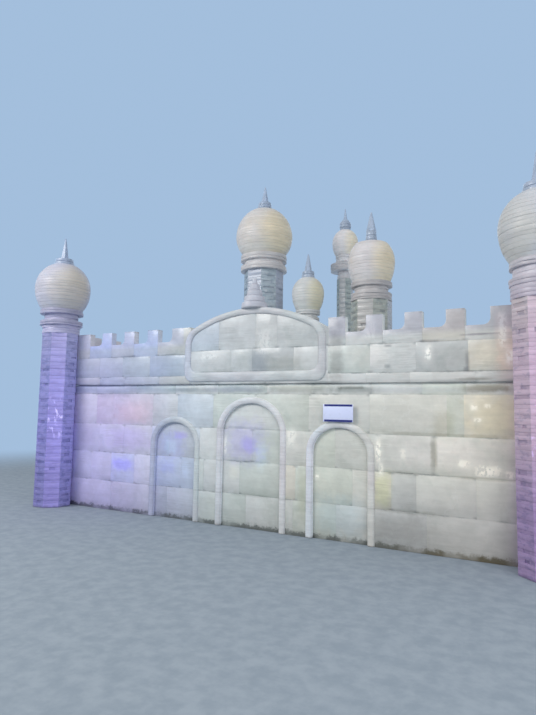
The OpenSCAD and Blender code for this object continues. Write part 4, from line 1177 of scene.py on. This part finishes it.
def build_shaft(tower, seed, slab, spacer, barred):
    """Thick slabs with thin spacers between them; on every other side the spacers lie back and leave dark slots."""
    node = tower + "_shaft"
    lo, hi = lo_hi(node)
    cx, cy = axis_of(tower + "_dome")[2:]
    half = max(hi.x - cx, cx - lo.x)
    rng = random.Random(seed)
    bm = bmesh.new()
    z = lo.z
    flat = lambda u, d, w: Vector((u, w, d))
    while z < hi.z - 0.01:
        z1 = min(hi.z, z + slab * rng.uniform(0.82, 1.18))
        if hi.z - z1 < slab * 0.6:
            z1 = hi.z
        ap = [half - rng.uniform(0.001, 0.004) for _ in range(8)]
        add_prism(bm, octagon(cx, cy, ap, rng.uniform(-0.002, 0.002)), flat, z + SHAFT_GAP, z1 - SHAFT_GAP, 0.0025)
        z = z1
        if z < hi.z - slab:
            z1 = z + spacer * rng.uniform(0.75, 1.25)
            ap = [half - rng.uniform(0.002, 0.005) for _ in range(8)]
            slots = {}
            for i in range(8):
                wide = i % 2 == barred
                if rng.random() < (0.56 if wide else 0.08):
                    slots[i] = (rng.uniform(0.05, 0.50) if wide else rng.uniform(0.1, 0.4),
                                rng.uniform(0.66, 0.96) if wide else rng.uniform(0.5, 0.9), rng.uniform(0.008, 0.011))
            add_prism(bm, slotted(octagon(cx, cy, ap), cx, cy, slots), flat, z + SHAFT_GAP, z1 - SHAFT_GAP)
            z = z1
    ob = bm_object(node + "_slabs", bm, TOWER_ICE)
    ob.data.materials.append(SLOT_ICE)
    for f in ob.data.polygons:
        if abs(f.normal.z) < 0.3:
            n = f.normal.xy.normalized()
            if (f.center.x - cx) * n.x + (f.center.y - cy) * n.y < half - 0.0065:
                f.material_index = 1
    smooth_by_angle(ob)
    base = Vector(TOWER_TINTS[tower])
    tag_blocks(ob, seed + 1, lambda mid, r: base * (0.95 + 0.10 * r.random()))
    at = ob.data.attributes.new("plain_side", "FLOAT", "POINT")
    at.data.foreach_set("value", [float(barred)] * len(ob.data.vertices))
    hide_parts(node)
    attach(ob, "root")


COLLARS = {
    # rings from the bottom: width, height; a narrow one is the gap between two rings
    "corner_left": [(0.690, 0.156), (0.786, 0.086), (0.63, 0.124), (0.786, 0.086)],
    "corner_right": [(0.690, 0.156), (0.710, 0.086), (0.63, 0.124), (0.710, 0.086)],
    "rear_left": [(0.964, 0.105), (0.80, 0.098), (0.964, 0.120)],
    "rear_right": [(0.776, 0.140), (0.64, 0.120), (0.776, 0.085)],
    "middle_turret": [(0.48, 0.09), (0.40, 0.06), (0.48, 0.08)],
    "back_turret": [(0.36, 0.17), (0.66, 0.16), (0.36, 0.05), (0.42, 0.15)],
}


CLARITY = {"corner_left": 0.86, "rear_right": 0.79, "rear_left": 0.97}


def build_collar(tower, seed):
    node = tower + "_collar"
    lo, _, cx, cy = axis_of(node)
    rng = random.Random(seed)
    bm = bmesh.new()
    z = lo.z
    gaps = []
    widest = max(w for w, h in COLLARS[tower])
    for w, h in COLLARS[tower]:
        n = max(1, round(h / 0.05))
        cuts = [0.0] + [(k + rng.uniform(-0.25, 0.25)) / n for k in range(1, n)] + [1.0]
        for t0, t1 in zip(cuts, cuts[1:]):
            r = w / 2 - rng.uniform(0.006, 0.016)
            profile = layer_profile(r, r - rng.uniform(0.0, 0.005), z + h * t0 + LAYER_GAP,
                                    z + h * t1 - LAYER_GAP, 0.003)
            lathe_part(bm, cx, cy, profile, 48, 0.0045, rng, rng.uniform(0, 1))
        if w < widest * 0.9:
            gaps.append((z, z + h))
        z += h
    ob = bm_object(node + "_rings", bm, RING_ICE)
    smooth_by_angle(ob, 50)
    base = Vector(TOWER_TINTS[tower]).lerp(Vector(DOME_TINTS[tower]), 0.75)

    def tint(mid, r):
        # the narrow gap rings are lightened: painted light where the rings above shade them
        bright = CLARITY.get(tower, 0.92) * (1.20 if any(a < mid[2] < b for a, b in gaps) else 0.98)
        return base * bright * (0.96 + 0.09 * r.random())
    tag_blocks(ob, seed + 1, tint)
    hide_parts(node)
    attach(ob, "root")


SPIRES = {
    # cap width, cap height, spire foot width
    "corner_left": (0.360, 0.125, 0.155), "corner_right": (0.360, 0.125, 0.155), "rear_left": (0.324, 0.19, 0.16),
    "rear_right": (0.222, 0.245, 0.19), "middle_turret": (0.25, 0.13, 0.15),
}


def build_spire(tower, seed):
    node = tower + "_spire"
    lo, hi, cx, cy = axis_of(node)
    rng = random.Random(seed)
    bm = bmesh.new()
    if tower == "back_turret":
        # a small bulb in four layers carries this one
        z, bulb_h = lo.z, 0.25
        for i in range(4):
            t0, t1 = i / 4, (i + 1) / 4
            r0, r1 = (dome_r(bulb_h * t, 0.258, 0.189, 0.115, 0.09, bulb_h) for t in (t0 + 0.05, t1 - 0.05))
            profile = layer_profile(r0, r1, z + bulb_h * t0 + CAP_GAP, z + bulb_h * t1 - CAP_GAP, 0.006)
            lathe_part(bm, cx, cy, profile, 32, 0.0008, rng)
        foot_z, foot_r = z + bulb_h, 0.045
    else:
        cap_w, cap_h, foot_w = SPIRES[tower]
        n = 3 if cap_h > 0.15 else 2
        for k in range(n):
            a, b = lo.z + cap_h * k / n, lo.z + cap_h * (k + 1) / n
            r = cap_w / 2 * (1.0 - 0.08 * k)
            lathe_part(bm, cx, cy, layer_profile(r, r * 0.97, a + CAP_GAP, b - CAP_GAP, 0.007), 32, 0.002, rng)
        foot_z, foot_r = lo.z + cap_h, foot_w / 2
    # a tapered spire with six flat sides
    h = hi.z - foot_z
    part = bmesh.new()
    rings = []
    turns = [math.radians(60 * k + 20) for k in range(6)]
    for t, narrower in ((0.0, 0.94), (0.03, 1.0), (0.5, 1.0), (0.97, 1.0), (1.0, 0.6)):
        r = (foot_r * (1 - t) + foot_r * 0.15 * t) * narrower
        rings.append([part.verts.new((cx + r * math.cos(a), cy + r * math.sin(a), foot_z + h * t)) for a in turns])
    skin(part, rings)
    join_bm(bm, part)
    ob = bm_object(node + "_ice", bm, CLEAR_ICE)
    smooth_by_angle(ob, 35)
    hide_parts(node)
    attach(ob, "root")


def build_pinnacle():
    lo, hi, cx, cy = axis_of("pediment_pinnacle")
    rng = random.Random(81)
    bm = bmesh.new()
    n = 5
    h = (hi.z - lo.z) / n
    for i in range(n):
        r = 0.21 - 0.04125 * i
        profile = layer_profile(r - 0.002, r - 0.010, lo.z + i * h + CAP_GAP, lo.z + (i + 1) * h - CAP_GAP, 0.012)
        lathe_part(bm, cx, cy, profile, 40, 0.002, rng, rng.uniform(0, 1))
    ob = bm_object("pinnacle_slabs", bm, CARVED_ICE)
    smooth_by_angle(ob, 50)
    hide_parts("pediment_pinnacle")
    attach(ob, "root")


def build_deck():
    """The trodden snow of the deck: a solid with an uneven top that stays within the CAD block."""
    lo, hi = lo_hi("deck_fill")
    nx, ny, footprints = 132, 72, 150
    rng = random.Random(91)
    prints = [(rng.uniform(lo.x + 0.2, hi.x - 0.2), rng.uniform(lo.y + 0.1, hi.y - 0.2), rng.uniform(0, 6.28))
              for _ in range(footprints)]
    g = 0.002
    X, Y = np.meshgrid(np.linspace(lo.x + g, hi.x - g, nx + 1), np.linspace(lo.y + g, hi.y - g, ny + 1))
    H = 0.006 * np.sin(2.1 * X + 0.7 * Y) + 0.005 * np.sin(1.3 * Y - 2.7 * X + 1.0)
    H = H + 0.003 * np.sin(6.0 * X) * np.sin(5.0 * Y)
    for px, py, pa in prints:
        u = (X - px) * math.cos(pa) + (Y - py) * math.sin(pa)
        v = -(X - px) * math.sin(pa) + (Y - py) * math.cos(pa)
        H -= 0.010 * np.exp(-((u / 0.13) ** 4 + (v / 0.055) ** 4))
    H = H - H.max() - 0.001
    verts = [(float(X[j, i]), float(Y[j, i]), float(hi.z + H[j, i])) for j in range(ny + 1) for i in range(nx + 1)]
    faces = [(j * (nx + 1) + i, j * (nx + 1) + i + 1, (j + 1) * (nx + 1) + i + 1, (j + 1) * (nx + 1) + i)
             for j in range(ny) for i in range(nx)]
    loop = list(range(nx + 1)) + [j * (nx + 1) + nx for j in range(1, ny + 1)]
    loop += [ny * (nx + 1) + i for i in range(nx - 1, -1, -1)] + [j * (nx + 1) for j in range(ny - 1, 0, -1)]
    base, m = len(verts), len(loop)
    verts += [(verts[k][0], verts[k][1], lo.z + g) for k in loop]
    for k in range(m):
        j = (k + 1) % m
        faces.append((loop[k], base + k, base + j, loop[j]))
    faces.append(tuple(base + k for k in range(m - 1, -1, -1)))
    ob = new_object("deck_snow", verts, faces, SNOW)
    smooth_by_angle(ob)
    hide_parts("deck_fill")
    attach(ob, "root")


def build_plate():
    lo, hi = lo_hi("notice_plate")
    place = lambda u, d, w: Vector((u, lo.y + d, w))
    bm = bmesh.new()
    add_prism(bm, rect(lo.x, hi.x, lo.z, hi.z), place, 0.002, hi.y - lo.y, 0.003)
    ob = bm_object("notice_sheet", bm, PLATE_WHITE)
    smooth_by_angle(ob)
    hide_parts("notice_plate")
    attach(ob, "root")
    bm = bmesh.new()
    for w0, w1 in ((hi.z - 0.032, hi.z - 0.003), (lo.z + 0.003, lo.z + 0.032)):
        add_prism(bm, rect(lo.x + 0.020, hi.x - 0.010, w0, w1), place, 0.0, 0.004, 0.001)
    ob = bm_object("notice_bars", bm, PLATE_BLUE)
    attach(ob, "root")


build_front_wall()
build_slab_course()
build_plain_wall("right_wall", lambda u, d, w: Vector((HALF_W - d, u, w)), LEFT_LO.y, LEFT_HI.y, 51)
build_plain_wall("left_wall", lambda u, d, w: Vector((-HALF_W + d, -u, w)), -LEFT_HI.y, -LEFT_LO.y, 53)
build_plain_wall("back_wall", lambda u, d, w: Vector((-u, BACK_Y - d, w)), -HALF_W, HALF_W, 55)
build_parapets()
build_pediment()
build_frame()
build_mouldings()
build_pinnacle()
build_deck()
build_plate()
# Heights of a shaft's slabs and spacers, and which sides show slots: 0 the slanting ones, 1 the others
SLABS = {"corner_left": (0.080, 0.045, 1), "corner_right": (0.060, 0.045, 0), "rear_left": (0.09, 0.040, 0),
         "rear_right": (0.08, 0.040, 0), "middle_turret": (0.08, 0.030, 0), "back_turret": (0.08, 0.032, 0)}
for k, tower in enumerate(sorted(DOMES)):
    build_dome(tower, 100 + 7 * k)
    build_shaft(tower, 200 + 7 * k, *SLABS[tower])
    build_collar(tower, 300 + 7 * k)
    build_spire(tower, 400 + 7 * k)


# Camera, light, floor

YAW, PITCH, ROLL = -0.5072, 0.0928, 0.0164
CAMERA_AT = Vector((4.347, -7.5525, 1.823))
FOCAL_PX = 547.87
IMAGE_H = 715
SENSOR_H = 36.0


def build_camera():
    fwd = Vector((math.sin(YAW) * math.cos(PITCH), math.cos(YAW) * math.cos(PITCH), math.sin(PITCH)))
    right = Vector((math.cos(YAW), -math.sin(YAW), 0.0))
    up = right.cross(fwd)
    r = right * math.cos(ROLL) + up * math.sin(ROLL)
    u = up * math.cos(ROLL) - right * math.sin(ROLL)
    data = bpy.data.cameras.new("camera")
    data.sensor_fit = "VERTICAL"
    data.sensor_height = SENSOR_H
    data.lens = FOCAL_PX / IMAGE_H * SENSOR_H
    data.clip_start, data.clip_end = 0.1, 200.0
    cam = linked("camera", data)
    m = Matrix((r, u, -fwd)).transposed().to_4x4()
    m.translation = CAMERA_AT
    cam.matrix_world = m
    bpy.context.scene.camera = cam


def area_light(name, at, target, size, power, colour):
    data = bpy.data.lights.new(name, "AREA")
    data.shape = "RECTANGLE"
    data.size, data.size_y = size
    data.energy = power
    data.color = colour
    ob = linked(name, data)
    ob.location = at
    ob.rotation_euler = (Vector(target) - Vector(at)).to_track_quat("-Z", "Y").to_euler()


BACKDROP = (0.37, 0.52, 0.72)


def build_stage():
    area_light("key", (-7.5, -11.0, 9.5), (0.0, 1.0, 2.2), (7.0, 5.0), 1300.0, (1.0, 0.985, 0.96))
    area_light("fill", (10.5, -8.0, 6.0), (1.0, 1.0, 2.2), (6.0, 6.0), 520.0, (0.96, 0.97, 1.0))
    area_light("back_light", (-3.0, 12.0, 9.0), (0.0, 2.0, 2.5), (8.0, 4.0), 70.0, (0.93, 0.96, 1.0))
    world = bpy.data.worlds.new("world")
    bpy.context.scene.world = world
    world.use_nodes = True
    t = world.node_tree
    t.nodes.clear()
    out = t.nodes.new("ShaderNodeOutputWorld")
    mix = t.nodes.new("ShaderNodeMixShader")
    # diffuse rays see a soft light, all others the backdrop
    for i, (colour, strength) in enumerate((((0.90, 0.95, 1.0), 0.66), (BACKDROP, 1.0))):
        n = t.nodes.new("ShaderNodeBackground")
        n.inputs["Color"].default_value = colour + (1.0,)
        n.inputs["Strength"].default_value = strength
        t.links.new(n.outputs[0], mix.inputs[1 + i])
    path = t.nodes.new("ShaderNodeLightPath")
    ray = path.outputs["Is Camera Ray"]
    for other in ("Is Glossy Ray", "Is Transmission Ray"):
        n = t.nodes.new("ShaderNodeMath")
        n.operation = "MAXIMUM"
        t.links.new(ray, n.inputs[0])
        t.links.new(path.outputs[other], n.inputs[1])
        ray = n.outputs[0]
    t.links.new(ray, mix.inputs[0])
    t.links.new(mix.outputs[0], out.inputs[0])

    m = Mat("floor")
    pos = m.coords()
    far = m.span(m.vmath("LENGTH", m.vmath("SUBTRACT", pos, (0.0, 1.5, 0.0))), 8.5, 17.0)
    grain = m.noise(pos, 6.0, 4.0, 0.6)
    col = m.mix(m.span(grain, 0.3, 0.7), (0.235, 0.280, 0.325), (0.29, 0.335, 0.38))
    m.set(Base_Color=col, Roughness=0.9)
    glow = m.node("ShaderNodeEmission")
    glow.inputs["Color"].default_value = BACKDROP + (1.0,)
    mixer = m.node("ShaderNodeMixShader")
    for i, source in enumerate((far, m.bsdf.outputs[0], glow.outputs[0])):
        m.t.links.new(source, mixer.inputs[i])
    m.t.links.new(mixer.outputs[0], m.out.inputs[0])
    size, z = 60.0, -0.002
    floor = new_object("floor", [(-size, -size, z), (size, -size, z), (size, size, z), (-size, size, z)],
                       [(0, 1, 2, 3)], m.mat)


build_camera()
build_stage()
bpy.context.scene.view_settings.view_transform = "Standard"
